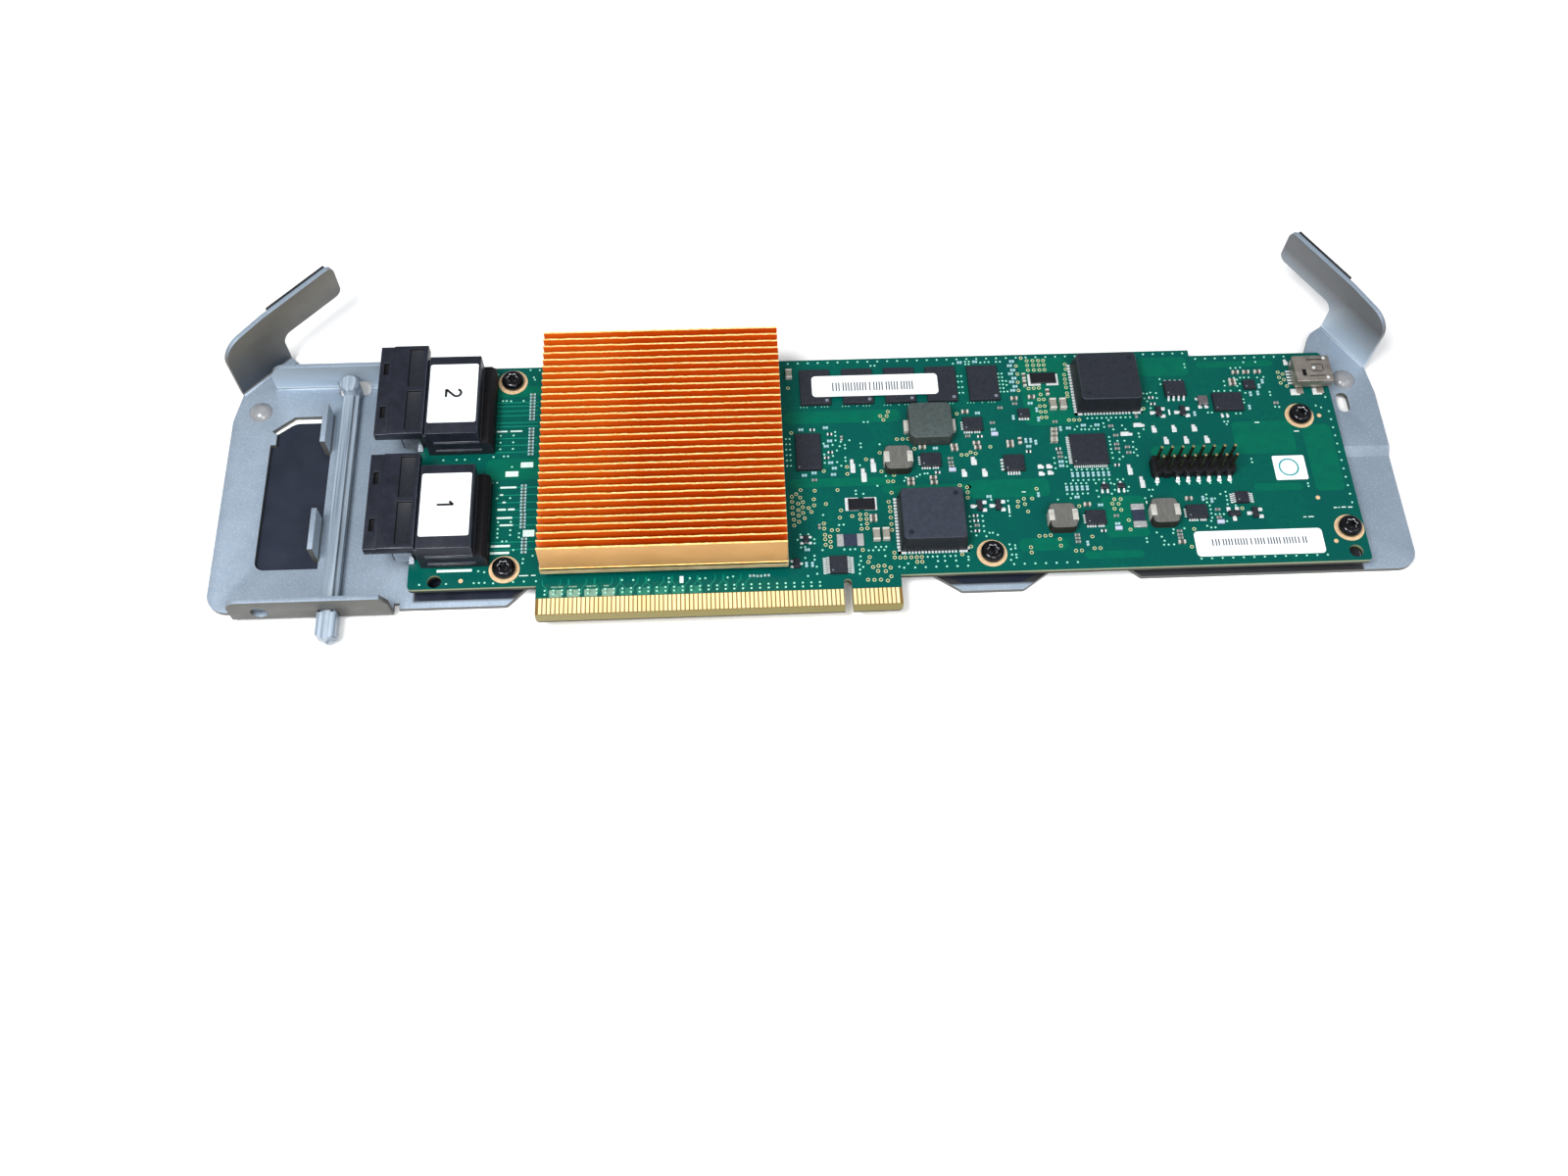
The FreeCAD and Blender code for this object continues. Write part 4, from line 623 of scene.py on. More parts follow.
class Shape:
    """A mesh under construction in millimetres; each new face takes the finish in hand."""

    # Shares of a lead's length where it bends down and where it lies flat again.
    KNEE = 0.3
    ANKLE = 0.6
    # How far the middle of a two-ended part reaches into its ends.
    TUCK = 0.05
    # Smallest radius of a turned ring.
    TIP = 0.001
    # Metres between points that count as one, and degrees between faces that count as one.
    WELD = 1e-6
    FLAT = 0.5
    # Upward part of the normal from which a face is no longer upright.
    STEEP = 0.5

    def __init__(self, *finishes: Shop) -> None:
        """Starts an empty mesh.

        Args:
            finishes: The first finish, if there is one to take up.
        """
        self.mesh = bmesh.new()
        self.finishes = list(finishes)
        self.hand = 0

    def take(self, finish: Shop) -> "Shape":
        """Takes up the finish for the faces that follow.

        Args:
            finish: The finish.

        Returns:
            The shape itself.
        """
        if finish not in self.finishes:
            self.finishes.append(finish)
        self.hand = self.finishes.index(finish)
        return self

    def face(self, corners: Sequence[bmesh.types.BMVert]) -> None:
        """Adds one face between corners that are already there."""
        self.mesh.faces.new(corners).material_index = self.hand

    def loop(self, points: Iterable[Place]) -> list[bmesh.types.BMVert]:
        """Adds points without faces."""
        return [self.mesh.verts.new(p) for p in points]

    def wall(self, low: Sequence[bmesh.types.BMVert], high: Sequence[bmesh.types.BMVert]) -> None:
        """Adds the faces between two closed loops of equal length."""
        for i in range(len(low)):
            self.face((low[i - 1], low[i], high[i], high[i - 1]))

    def skin(self, rings: Iterable[Iterable[Place]], cap_start: bool = True, cap_end: bool = True) -> None:
        """Closes a row of rings of equal length into a solid.

        Args:
            rings: Points of each ring, in the same turning sense.
            cap_start: Whether the first ring is filled.
            cap_end: Whether the last ring is filled.
        """
        loops = [self.loop(ring) for ring in rings]
        for low, high in zip(loops, loops[1:]):
            self.wall(low, high)
        if cap_start:
            self.face(loops[0][::-1])
        if cap_end:
            self.face(loops[-1])

    def stack(self, *layers: tuple[Sequence[Point], float], cap_start: bool = True,
              cap_end: bool = True) -> None:
        """Closes outlines at their levels, from the foot to the top, into a solid."""
        self.skin((((x, y, level) for x, y in outline) for outline, level in layers), cap_start, cap_end)

    def slab(self, outline: Sequence[Point], low: float, high: float, edge: float = 0,
             draft: float = 0) -> None:
        """Adds an outline as a solid between two levels.

        Args:
            outline: Corners, anticlockwise.
            low: Lower level.
            high: Upper level.
            edge: Size of the bevel round the upper face.
            draft: How far the outline draws in on the way up.
        """
        top = inset(outline, draft)
        if edge:
            lean = inset(outline, draft * (1 - edge / (high - low)))
            self.stack((outline, low), (lean, high - edge), (inset(top, edge), high))
        else:
            self.stack((outline, low), (top, high))

    def block(self, low: Place, high: Place, edge: float) -> None:
        """Adds an upright block with all its edges bevelled.

        Args:
            low: Lowest corner.
            high: Highest corner.
            edge: Size of the bevel.
        """
        plain = rectangle(*low[:2], *high[:2], edge, 1)
        small = inset(plain, edge)
        self.stack((small, low[2]), (plain, low[2] + edge), (plain, high[2] - edge), (small, high[2]))

    def ended(self, spot: Point, size: Place, end: float, middle: Point, finishes: tuple[Shop, Shop],
              edge: float, upright: bool) -> None:
        """Adds a part with two metal ends.

        Args:
            spot: Its centre.
            size: Its length, width and height.
            end: Length of each end.
            middle: Width and height of what lies between the ends.
            finishes: Finish of the middle and of the ends.
            edge: Size of the bevels.
            upright: Whether it lies along y.
        """
        half = size[0] / 2
        sections = ((end - half - self.TUCK, half - end + self.TUCK, middle, finishes[0]),
                    (-half, end - half, size[1:], finishes[1]), (half - end, half, size[1:], finishes[1]))
        for start, stop, (wide, high), finish in sections:
            corners = [(start, -wide / 2), (stop, wide / 2)]
            low, far = (Vector(spot) + Vector(c[::-1] if upright else c) for c in corners)
            self.take(finish).block((*low, 0.0), (*far, high), edge)

    def turned(self, centre: Point, profile: Iterable[Point], steps: int = 32) -> None:
        """Adds a turned solid; its profile is the radius and level of each ring, from the foot to the top."""
        self.stack(*((circle(*centre, max(radius, self.TIP), steps), level) for radius, level in profile))

    def disc(self, centre: Point, radius: float, low: float, high: float, steps: int) -> None:
        """Adds a round disc between two levels."""
        self.turned(centre, ((radius, low), (radius, high)), steps)

    def ring(self, centre: Point, inner: float, outer: float, low: float, high: float, steps: int) -> None:
        """Adds a flat ring.

        Args:
            centre: Its centre.
            inner: Inner radius.
            outer: Outer radius.
            low: Lower level.
            high: Upper level.
            steps: Straight pieces round it.
        """
        loops = []
        for radius, level in ((inner, low), (outer, low), (outer, high), (inner, high)):
            loops.append(self.loop((x, y, level) for x, y in circle(*centre, radius, steps)))
        for i in range(len(loops)):
            self.wall(loops[i - 1], loops[i])

    def strip(self, points: Sequence[Point], width: float, low: float, high: float) -> None:
        """Adds a flat strip along a line of points.

        Args:
            points: The line.
            width: Width of the strip.
            low: Lower level.
            high: Upper level.
        """
        left, right = [], []
        for i, here in enumerate(points):
            before = points[max(i - 1, 0)]
            after = points[min(i + 1, len(points) - 1)]
            along = (Vector(after) - Vector(before)).normalized()
            across = Vector((-along.y, along.x)) * (width / 2)
            left.append((here[0] + across.x, here[1] + across.y))
            right.append((here[0] - across.x, here[1] - across.y))
        self.slab(right + left[::-1], low, high)

    def lead(self, root: Place, toe: Point, width: float, thick: float) -> None:
        """Adds a bent lead from the side of a part down to the board.

        Args:
            root: Where its upper face leaves the part.
            toe: Where it ends on the board.
            width: Width of the lead.
            thick: Thickness of the metal.
        """
        start, end = Vector(root[:2]), Vector(toe)
        across = Vector((start.y - end.y, end.x - start.x)).normalized() * (width / 2)
        rings = []
        for share, level in ((0.0, root[2]), (self.KNEE, root[2]), (self.ANKLE, thick), (1.0, thick)):
            left, right = start.lerp(end, share) + across, start.lerp(end, share) - across
            rings.append([(*left, level), (*right, level), (*right, level - thick), (*left, level - thick)])
        self.skin(rings)

    @classmethod
    def copy_of(cls, node: str, finish: Shop, edge: float, segments: int = 2, angle: float = 30.0,
                rim: Shop | None = None) -> "Shape":
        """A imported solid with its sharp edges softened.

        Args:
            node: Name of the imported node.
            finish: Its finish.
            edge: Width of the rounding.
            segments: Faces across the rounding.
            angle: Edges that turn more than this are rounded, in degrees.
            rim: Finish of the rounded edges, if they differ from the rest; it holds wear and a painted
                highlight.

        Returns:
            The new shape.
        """
        shape = cls(finish)
        solid = bmesh.new()
        solid.from_mesh(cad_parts[node].data)
        bmesh.ops.remove_doubles(solid, verts=solid.verts, dist=cls.WELD)
        flat = math.radians(cls.FLAT)
        bmesh.ops.dissolve_limit(solid, angle_limit=flat, verts=solid.verts, edges=solid.edges)
        bmesh.ops.scale(solid, vec=(1 / MM,) * 3, verts=solid.verts)
        sharp = [e for e in solid.edges if e.is_manifold and e.calc_face_angle() > math.radians(angle)]
        made = bmesh.ops.bevel(solid, geom=sharp, offset=edge, segments=segments, profile=0.5, affect="EDGES",
                               clamp_overlap=True)
        rim_faces = set(made["faces"]) if rim else set()
        twins = {v: shape.mesh.verts.new(v.co) for v in solid.verts}
        for f in solid.faces:
            shape.take(rim if f in rim_faces else finish).face([twins[v] for v in f.verts])
        solid.free()
        return shape.take(finish)

    def repaint(self, finish: Shop, low: Place, high: Place, upright: bool = False) -> None:
        """Gives another finish to the faces whose middle lies in a box.

        Args:
            finish: The new finish.
            low: Lowest corner of the box.
            high: Highest corner of the box.
            upright: Whether level and sloping faces keep their finish.
        """
        self.take(finish)
        for f in self.mesh.faces:
            f.normal_update()
            inside = all(a <= m <= b for a, m, b in zip(low, f.calc_center_median(), high))
            if inside and not (upright and abs(f.normal.z) > self.STEEP):
                f.material_index = self.hand

    def place(self, name: str, slot: str, *replaces: str, crease: float = 35.0) -> None:
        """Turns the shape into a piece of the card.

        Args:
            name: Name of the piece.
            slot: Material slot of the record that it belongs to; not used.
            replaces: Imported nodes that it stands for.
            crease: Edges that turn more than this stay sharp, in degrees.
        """
        bmesh.ops.recalc_face_normals(self.mesh, faces=self.mesh.faces)
        bmesh.ops.scale(self.mesh, vec=(MM,) * 3, verts=self.mesh.verts)
        data = bpy.data.meshes.new(name)
        self.mesh.to_mesh(data)
        self.mesh.free()
        data.polygons.foreach_set("use_smooth", [True] * len(data.polygons))
        data.set_sharp_from_angle(angle=math.radians(crease))
        for finish in self.finishes:
            data.materials.append(finish.material)
        piece = bpy.data.objects.new(name, data)
        bpy.context.scene.collection.objects.link(piece)
        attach(piece, "root")
        if replaces:
            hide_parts(*replaces)
        log.info("%s: %d faces", name, len(data.polygons))


def dress(node: str, finish: Shop) -> None:
    """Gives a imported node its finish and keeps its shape.

    Args:
        node: Name of the node.
        finish: The finish.
    """
    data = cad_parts[node].data
    data.materials.clear()
    data.materials.append(finish.material)
    log.info("%s: %s", node, finish.name.lower())


@dataclass(frozen=True)
class Row:
    """Evenly spaced places along a line."""

    x: float
    y: float
    dx: float
    dy: float
    count: int

    @property
    def places(self) -> list[Point]:
        """The places, from the first to the last."""
        return [(self.x + self.dx * i, self.y + self.dy * i) for i in range(self.count)]


@dataclass
class Carrier:
    """The folded steel carrier with its films, grips, bumpers and light pipe."""

    edge: float = 0.18
    grip_edge: float = 0.25
    pipe_edge: float = 0.22
    round_steps: int = 3
    # Boxes whose upright faces take the lit steel, painted light: back flange, right ear and hooks.
    painted_light_boxes: tuple[tuple[Place, Place], ...] = (
        ((-139, 60, -4.5), (-96, 66, 5)), ((122, 50, -3.5), (139, 90, 17)),
        ((-128, 5, -3.5), (-120, 58, 3)))
    # Box of the left ear, whose upright faces take the shaded steel, painted shade.
    painted_shade_box: tuple[Place, Place] = ((-151, 66, -3.5), (-118, 90, 17))
    bumper_radius: float = 2.9
    bumper_rise: float = 1.6
    bumper_steps: int = 8

    def build(self) -> None:
        """Makes every piece of the carrier."""
        steel = Shape.copy_of("carrier_plate", Shop.STEEL, self.edge, rim=Shop.STEEL_RIM)
        # Painted light and shade on the upright faces in these boxes.
        for low, high in self.painted_light_boxes:
            steel.repaint(Shop.STEEL_LIT, low, high, True)
        steel.repaint(Shop.STEEL_DIM, *self.painted_shade_box, True)
        steel.place("carrier_sheet", "carrier_steel", "carrier_plate")
        for node in ("insulator_film", "window_film"):
            dress(node, Shop.FILM)
        dress("standoffs", Shop.CLIP)
        for node in ("left_grip", "right_grip"):
            pad = Shape.copy_of(node, Shop.RUBBER, self.grip_edge, self.round_steps)
            pad.place(node + "_pad", "grip_rubber", node)
        pipe = Shape.copy_of("light_pipe", Shop.CLEAR, self.pipe_edge, self.round_steps)
        pipe.place("light_pipe_rod", "clear_plastic", "light_pipe")
        self.bumpers()

    def bumpers(self) -> None:
        """Makes the two clear domes."""
        shape = Shape(Shop.DOME)
        low, high = span("bumpers")
        radius, rise = self.bumper_radius, self.bumper_rise
        ball = (radius ** 2 + rise ** 2) / (2 * rise)
        for x, z in ((low.x + radius, low.z), (high.x - radius, high.z - rise)):
            profile = [(radius, z)]
            for i in range(1, self.bumper_steps + 1):
                up = rise * i / self.bumper_steps
                profile.append((math.sqrt(max(ball ** 2 - (ball - rise + up) ** 2, 0.0)), z + up))
            shape.turned((x, (low.y + high.y) / 2), profile)
        shape.place("bumper_domes", "clear_plastic", "bumpers")


@dataclass
class Board:
    """The circuit board with its contacts and the rings round its holes."""

    screws: tuple[Point, ...] = ((-80.1, 4.6), (-80.1, 57.8), (34.6, 4.95), (121.05, 8.9), (115.6, 41.3))
    dots: tuple[Point, ...] = ((-90.06, 1.92), (117.14, 5.37), (115.27, 17.48), (120.59, 41.17))
    hole: float = 1.72
    ring: float = 3.6
    ring_steps: int = 40
    dot: float = 0.55
    dot_steps: int = 16
    foil: float = 0.05

    def build(self) -> None:
        """Dresses the board and adds its bare rings."""
        dress("circuit_board", Shop.MASK)
        dress("contact_fingers", Shop.FINGER)
        rings = Shape(Shop.PAD)
        for spot in self.screws:
            rings.ring(spot, self.hole, self.ring, 0.0, self.foil, self.ring_steps)
        for spot in self.dots:
            rings.disc(spot, self.dot, 0.0, self.foil, self.dot_steps)
        rings.place("hole_rings", "contact_gold")


@dataclass
class Vias:
    """Plated holes: open rings, smaller filled ones and small covered dots."""

    foil: float = 0.045
    ring: float = 0.46
    ring_steps: int = 14
    hole: float = 0.3
    hole_high: float = 0.01
    hole_steps: int = 10
    dome: tuple[Point, ...] = ((0.26, 0.0), (0.234, 0.02), (0.104, 0.035))
    dome_steps: int = 9
    fine_dome: tuple[Point, ...] = ((0.15, 0.0), (0.09, 0.03))
    fine_dome_steps: int = 8
    fine_groups: Row = Row(-8.6, 47.9, 10.44, 0, 5)
    fine_steps: tuple[float, ...] = (0, 0.77, 1.54, 3.65, 5.2, 5.97, 6.74)
    rings: tuple[Point, ...] = (
        (-9.8, 23.9), (-10.9, 22.8), (-12, 22.1), (-10, 21.8), (-6.4, 23.6), (-0.9, 23.6), (-12, 20.7),
        (-10.6, 20.1), (-9.4, 20.5), (-6.75, 21.2), (-6.75, 19.5), (-3.9, 19.8), (-12, 19.1), (-10.6, 18.3),
        (-9.5, 19.1), (-8.1, 18.8), (-12, 17.4), (-10.6, 16.8), (-9.5, 17.5), (-7.5, 17.7), (-11.8, 15.7),
        (-10.6, 15.1), (-9.2, 16), (-11.8, 14.1), (-0.4, 17.9), (-0.8, 15.9), (2.2, 16.2), (4.1, 16.6),
        (5.6, 16.6), (4.1, 15.3), (5.6, 15.3), (5.6, 14), (4.2, 12.6), (5.6, 12.75), (-2.9, 12.5),
        (-1.5, 12.5), (-4.6, 11.3), (-3.4, 10.8), (-4.6, 10.1), (-3.4, 9.4), (-4.6, 8.6), (-3.4, 8),
        (-4.7, 14.4), (-4.7, 13), (4.1, 6.9), (5.6, 4.9), (5.2, 3.6), (6.2, 2.2), (7.5, 2.5), (8.9, 2.5),
        (10.3, 1.9), (7.3, 1.1), (9.1, 1), (11.2, 19.9), (11.4, 18.4), (11.4, 17.2), (11.4, 15.5),
        (11.4, 13.7), (11.4, 12.1), (12.1, 22.4), (11.5, 5.9), (11.5, 4.6), (12.8, 4.5), (14, 4.5),
        (15.4, 4.5), (16.7, 4.5), (17.9, 4.5), (16.7, 3.2), (17.9, 3.2), (10.1, 28.5), (11.5, 25.6),
        (12.75, 25.6), (1.8, 30.1), (1.8, 28.1), (11, 44.7), (13, 45.9), (12.6, 44.6), (11.7, 43.5),
        (14.6, 37.7), (16, 37.7), (17.4, 37.7), (10.1, 33.9), (18.7, 34.8), (6.6, 32.1), (-11.5, 53.8),
        (28.8, 23.9), (30.5, 23.3), (30.5, 21.9), (30.4, 20.4), (29.8, 6.9), (27.5, 4.9), (46.4, 9.2),
        (47.8, 9.2), (49.1, 9.3), (51.2, 8.2), (51.2, 6.4), (44, 6.2), (44, 4.8), (54.6, 4.9), (56, 4.9),
        (59, 8.6), (59.1, 5.4), (60.5, 5.4), (4.8, -1.1), (6.3, -1.2), (7.8, -1.2), (9.4, -1.5),
        (10.3, -0.4))
    discs: tuple[Point, ...] = (
        (-3.9, 29.1), (13.1, 27.4), (-11.3, 40.4), (42.4, 18.9), (42.2, 17.5), (43.9, 19.6), (44, 18.1),
        (44.5, 16), (45.9, 19.6), (47.3, 22.3), (65.75, 18.7), (67.3, 18.7), (65.1, 17.5), (66.6, 17.4),
        (65.4, 16.1), (67, 15.7), (68.4, 12.8), (68.4, 10.2), (57, 17.1), (83.7, 9.8), (82.3, 5),
        (30.1, 32.6), (31.4, 32.6), (32.4, 33.3), (33.6, 32.9), (37.4, 34.7), (30.1, 44.7), (48, 61.1),
        (48.9, 51.7), (50.2, 51.75), (51.5, 51.8), (51.7, 49.8), (59, 58.8), (59, 57.3), (58.4, 55.6),
        (58.4, 54.25), (58.4, 53), (58.4, 51.7), (58.4, 50), (58.4, 49), (57.8, 41.9), (59.1, 41.9),
        (60.4, 41.9), (76.9, 44.7), (46.5, 58.7), (46.6, 56.2), (46.4, 53.7), (46.3, 51.2), (96.3, 15.1),
        (112.8, 54.6), (113.9, 54), (112.8, 53), (113.9, 52.3), (112.9, 51.3), (114.3, 50.3),
        *((x, y) for x in (49.4, 50.9, 52.3, 53.6) for y in (57.3, 58.8, 60.2)),
        *((x, y) for x in (51.1, 52.3) for y in (42.9, 44.6, 46.3, 48.3)))
    rows: tuple[Row, ...] = (
        Row(-11.2, 61.3, 2.52, 0, 30), Row(79.4, 61.3, 2.52, 0, 5), Row(92.5, 59.45, 2.53, 0, 10),
        Row(16.1, 1.8, 2.5, 0, 6), Row(39.5, 1.85, 2.52, 0, 7), Row(84.1, 1.75, 2.52, 0, 13),
        Row(123.35, 15.9, 0, 2.41, 12), Row(-70.5, -1.3, 2, 0, 33), Row(-70.5, -2.3, 2, 0, 33),
        Row(56.5, 27.4, 1.27, 0, 8), Row(56.5, 24.4, 1.27, 0, 8), Row(54.6, 23.5, 1.25, 0, 5),
        Row(54.6, 20.6, 1.25, 0, 5), Row(62.5, 42.3, 1.19, 0, 10), Row(30.3, 11, 0, 1.4, 4),
        Row(33.4, 11, 0, 1.4, 4), Row(31.35, 51, 0, 1.7, 4), Row(32.3, 51, 0, 1.7, 4),
        Row(41.7, 51, 0, 1.1, 6), Row(42.6, 51, 0, 1.1, 6), Row(-12.7, 30.9, 0, 1.56, 6),
        Row(-11.8, 30.9, 0, 1.56, 6))
    dots: tuple[Point, ...] = (
        (-99.6, 1.3), (-93.4, 1.3), (-87, 1.3), (-85.8, 1.3), (-84.5, 1.3), (-82.5, 1.1), (-77.9, 1.3),
        (-75.4, 1.3), (-72.6, 1.3), (-86.1, 4.4), (-84.7, 4.1), (-84, 28.5), (-82.8, 28.5), (-82.6, 24.1),
        (-79.5, 24.1), (-82.1, 17.5), (-82.1, 15.6), (-82.1, 14.4), (-82.1, 13.3), (-79.1, 17.5),
        (-79.1, 15.2), (-79.1, 13.9), (-80.9, 12.2), (-79.9, 12.2), (-77, 14.3), (-77, 13.2), (-78.2, 9.8),
        (-75.8, 7.3), (-75.9, 6.2), (-73.6, 8.1), (-84.8, 61.5), (-75.9, 61.5), (-73.6, 61.4), (-75, 59.2),
        (-74.7, 58.5), (-84, 60.3), (-82.4, 52.3), (-81.5, 52.3), (-80.4, 52.2), (-77.3, 52.2), (-82.5, 42),
        (-79.4, 42), (-82.5, 40), (-79.4, 40), (-82.5, 38.1), (-79.4, 38.1), (-84, 35.9), (-81.5, 36),
        (-80.5, 36), (-79.4, 32.9), (-96.1, 35.4), (-92.9, 35.4), (-90.9, 35.4), (-87.4, 35.4),
        (8.85, 24.5), (3.5, 23.3), (3.5, 22.35), (5.3, 22.35), (-4.75, 16.8), (-1.1, 13.9), (0, 13.95),
        (4.2, 13.8), (-0.25, 7.2), (1.15, 7.15), (2.3, 7.2), (-5.4, 7.2), (7.25, 7.6), (8.5, 7.6),
        (9.7, 7.6), (5.5, 6.75), (6.55, 6.75), (7.9, 6.75), (9.2, 6.75), (3.45, 5.2), (3.45, 4), (3, 3),
        (3.9, 2.35), (3.1, 1.65), (3, 0.6), (9.3, 5.1), (12.4, 2.1), (13.5, 1.8), (14.55, 2.9),
        (-9.6, 5.25), (-7.4, 5.75), (-7.4, 4.7), (-7, 2.8), (-7, 0.9), (-9.2, 0.4), (15.9, 26.6),
        (15.5, 25.7), (18.6, 26.8), (19.4, 27.3), (11.1, 27.2), (-10.45, 11.6), (-8.55, 11.6),
        (-11.2, 10.2), (-10.45, 8.1), (-9.5, 8.2), (-7.2, 10.2), (-7.2, 9.1), (9.7, 60), (10.7, 60),
        (6.8, 43.05), (7.8, 43.05), (-0.45, 40.35), (-0.45, 39.25), (-0.5, 37.9), (0.75, 37.45),
        (1.7, 36.5), (1.7, 35.5), (0.4, 36.15), (2.9, 37.85), (5.6, 36.8), (5.6, 35.7), (10.25, 36.4),
        (-0.35, 34.95), (1.6, 32.85), (1.6, 31.85), (0.45, 30.5), (-0.5, 31.6), (-3.5, 37.05), (-3.5, 33.9),
        (-3.5, 31.5), (-1.3, 36.6), (-1.4, 33.4), (5, 30.5), (34.6, 10.5), (35.4, 10.5), (33.75, 9.6),
        (36.5, 9.9), (31.4, 9.9), (39, 7.2), (40.3, 6.9), (40.3, 6.1), (39.2, 5.9), (39.3, 4.4),
        (40.3, 4.4), (40.3, 3.6), (38.9, 3), (28.9, 4.2), (28.9, 3.4), (19.3, 4.55), (20.5, 4.55),
        (21.6, 4.55), (23.3, 4.55), (24.7, 4.55), (25.9, 4.55), (21.6, 3.3), (23.3, 3.3), (25.9, 3.3),
        (20.6, 27.6), (21.3, 27.6), (36, 19.7), (40, 19.2), (40, 15), (43.5, 54.2), (43.5, 53), (43.5, 51),
        (30.6, 60), (33.75, 60.5), (34.7, 60.5), (33.75, 59.7), (34.6, 59.7), (37.6, 60.1), (38.7, 60.2),
        (39.7, 60.2), (41.6, 60.2), (42.6, 60.2), (52.7, 31), (52.7, 29.5), (52.7, 28), (55.6, 31),
        (55.6, 29.8), (55.6, 28.5), (61.9, 23.4), (61.9, 21.3), (62.1, 19.6), (65.6, 23.3), (65.4, 20.3),
        (66.4, 23), (66.3, 21.4), (67.4, 24.3), (68.75, 24.3), (69.8, 22.1), (69.4, 21), (55.3, 19.4),
        (52.1, 19.1), (74.9, 19.3), (73.3, 18.8), (74.6, 21.1), (75.5, 21.1), (78.75, 9.9), (81.4, 10.1),
        (78.5, 8.9), (74.6, 9.2), (75.6, 8), (76.1, 6.9), (75.8, 5.8), (76.9, 5.8), (78.2, 5.8),
        (71.9, 7.7), (71.9, 6.7), (58.9, 39.1), (60.55, 39.05), (61.45, 39.05), (62.45, 39), (63.7, 39),
        (64.7, 39), (67.1, 36.6), (67.1, 35.4), (67.1, 34.4), (67.1, 33.1), (67.15, 32), (67.15, 30.5),
        (69, 35.4), (70.75, 35.4), (72.8, 35), (72.6, 33.5), (73.3, 32.8), (73.3, 31), (72.55, 31.9),
        (69, 32.1), (68.75, 30.1), (69.7, 30.8), (74.6, 37.4), (74.6, 36.4), (76, 38.6), (71.5, 38.75),
        (70.8, 39.9), (68.5, 38.8), (66.25, 40.7), (66.3, 39.6), (67.7, 41.6), (63.05, 39.95),
        (59.6, 39.95), (77.6, 49.3), (78.5, 49.2), (79.4, 49.5), (80.8, 49.3), (80.8, 47.8), (77.6, 47.8),
        (78.2, 46.9), (78.75, 44.8), (82.4, 53.5), (82.4, 51.95), (101.2, 29.1), (101.2, 28.1),
        (113.7, 21.6), (113.7, 20.8), (88.3, 19.3), (88.2, 18.2), (88.1, 17.1), (90.2, 18.1), (91.75, 19.3),
        (93.1, 19.9), (93.1, 18.7), (93.1, 17.6), (93, 16.4), (94.9, 16), (88.6, 16.2), (88.6, 15.1),
        (88.6, 14), (88.6, 12.8), (88.2, 11.9), (87, 10.6), (87.9, 10.1), (88.9, 10.1), (89.6, 13.7),
        (90.6, 13.7), (91.6, 13.7), (92, 11.7), (89.4, 57.9), (89.4, 56.9), (101, 56.3), (102.3, 56.3),
        (103.5, 56.4), (104.6, 58), (107.7, 58), (101.3, 53.3), (102.9, 53.3), (103.9, 53.3), (105.1, 53.3),
        (107.25, 53.2), (108.9, 53.3), (102, 52.7), (102.5, 51.4), (101.7, 50.75), (98.6, 52.3), (98.6, 51),
        (109.6, 48.7), (109.6, 47.75), (110.1, 44.2), (111.1, 44.1), (95.6, 49.4), (96.7, 49.4),
        (98.2, 49.4), (99.8, 49.4), (102.1, 49.4), (103.4, 48.6), (102.5, 46.7), (102.5, 45.7),
        (99.9, 42.5), (101, 42.5), (96.5, 40.2), (97.4, 40.2), (97, 39.4), (92.9, 43), (93.9, 43),
        (76.8, 22.5), (82.2, 22.5), (84.7, 22.5), (87.3, 22.5), (89.8, 22.5), (92.4, 22.5), (94.9, 22.5),
        (123.35, 46.7), (121.6, 43.6), (120.4, 44.2), (-52.6, 0.9), (-50, 0.8), (-46.4, 0.7), (-41.7, 1),
        (-41.7, 0), (-36.8, 0.8), (-34.5, 0.6), (-33.2, 0.7), (-28, 0.7), (-26.7, 0.9))

    def build(self) -> None:
        """Makes each kind as one piece."""
        # Open vias get a dark disc of painted shade in the hole; filled ones get copper.
        kinds = (("open_vias", self.rings, Shop.HOLE), ("filled_vias", self.discs, Shop.POUR))
        for name, spots, inside in kinds:
            shape = Shape()
            for spot in spots:
                shape.take(Shop.RING).ring(spot, self.hole, self.ring, 0.0, self.foil, self.ring_steps)
                shape.take(inside).disc(spot, self.hole, 0.0, self.hole_high, self.hole_steps)
            shape.place(name, "contact_gold")
        dots = Shape(Shop.DOT)
        for spot in (*self.dots, *(p for row in self.rows for p in row.places)):
            dots.turned(spot, self.dome, self.dome_steps)
        for x, y in self.fine_groups.places:
            for step in self.fine_steps:
                dots.turned((x + step, y), self.fine_dome, self.fine_dome_steps)
        dots.place("covered_vias", "board_green")


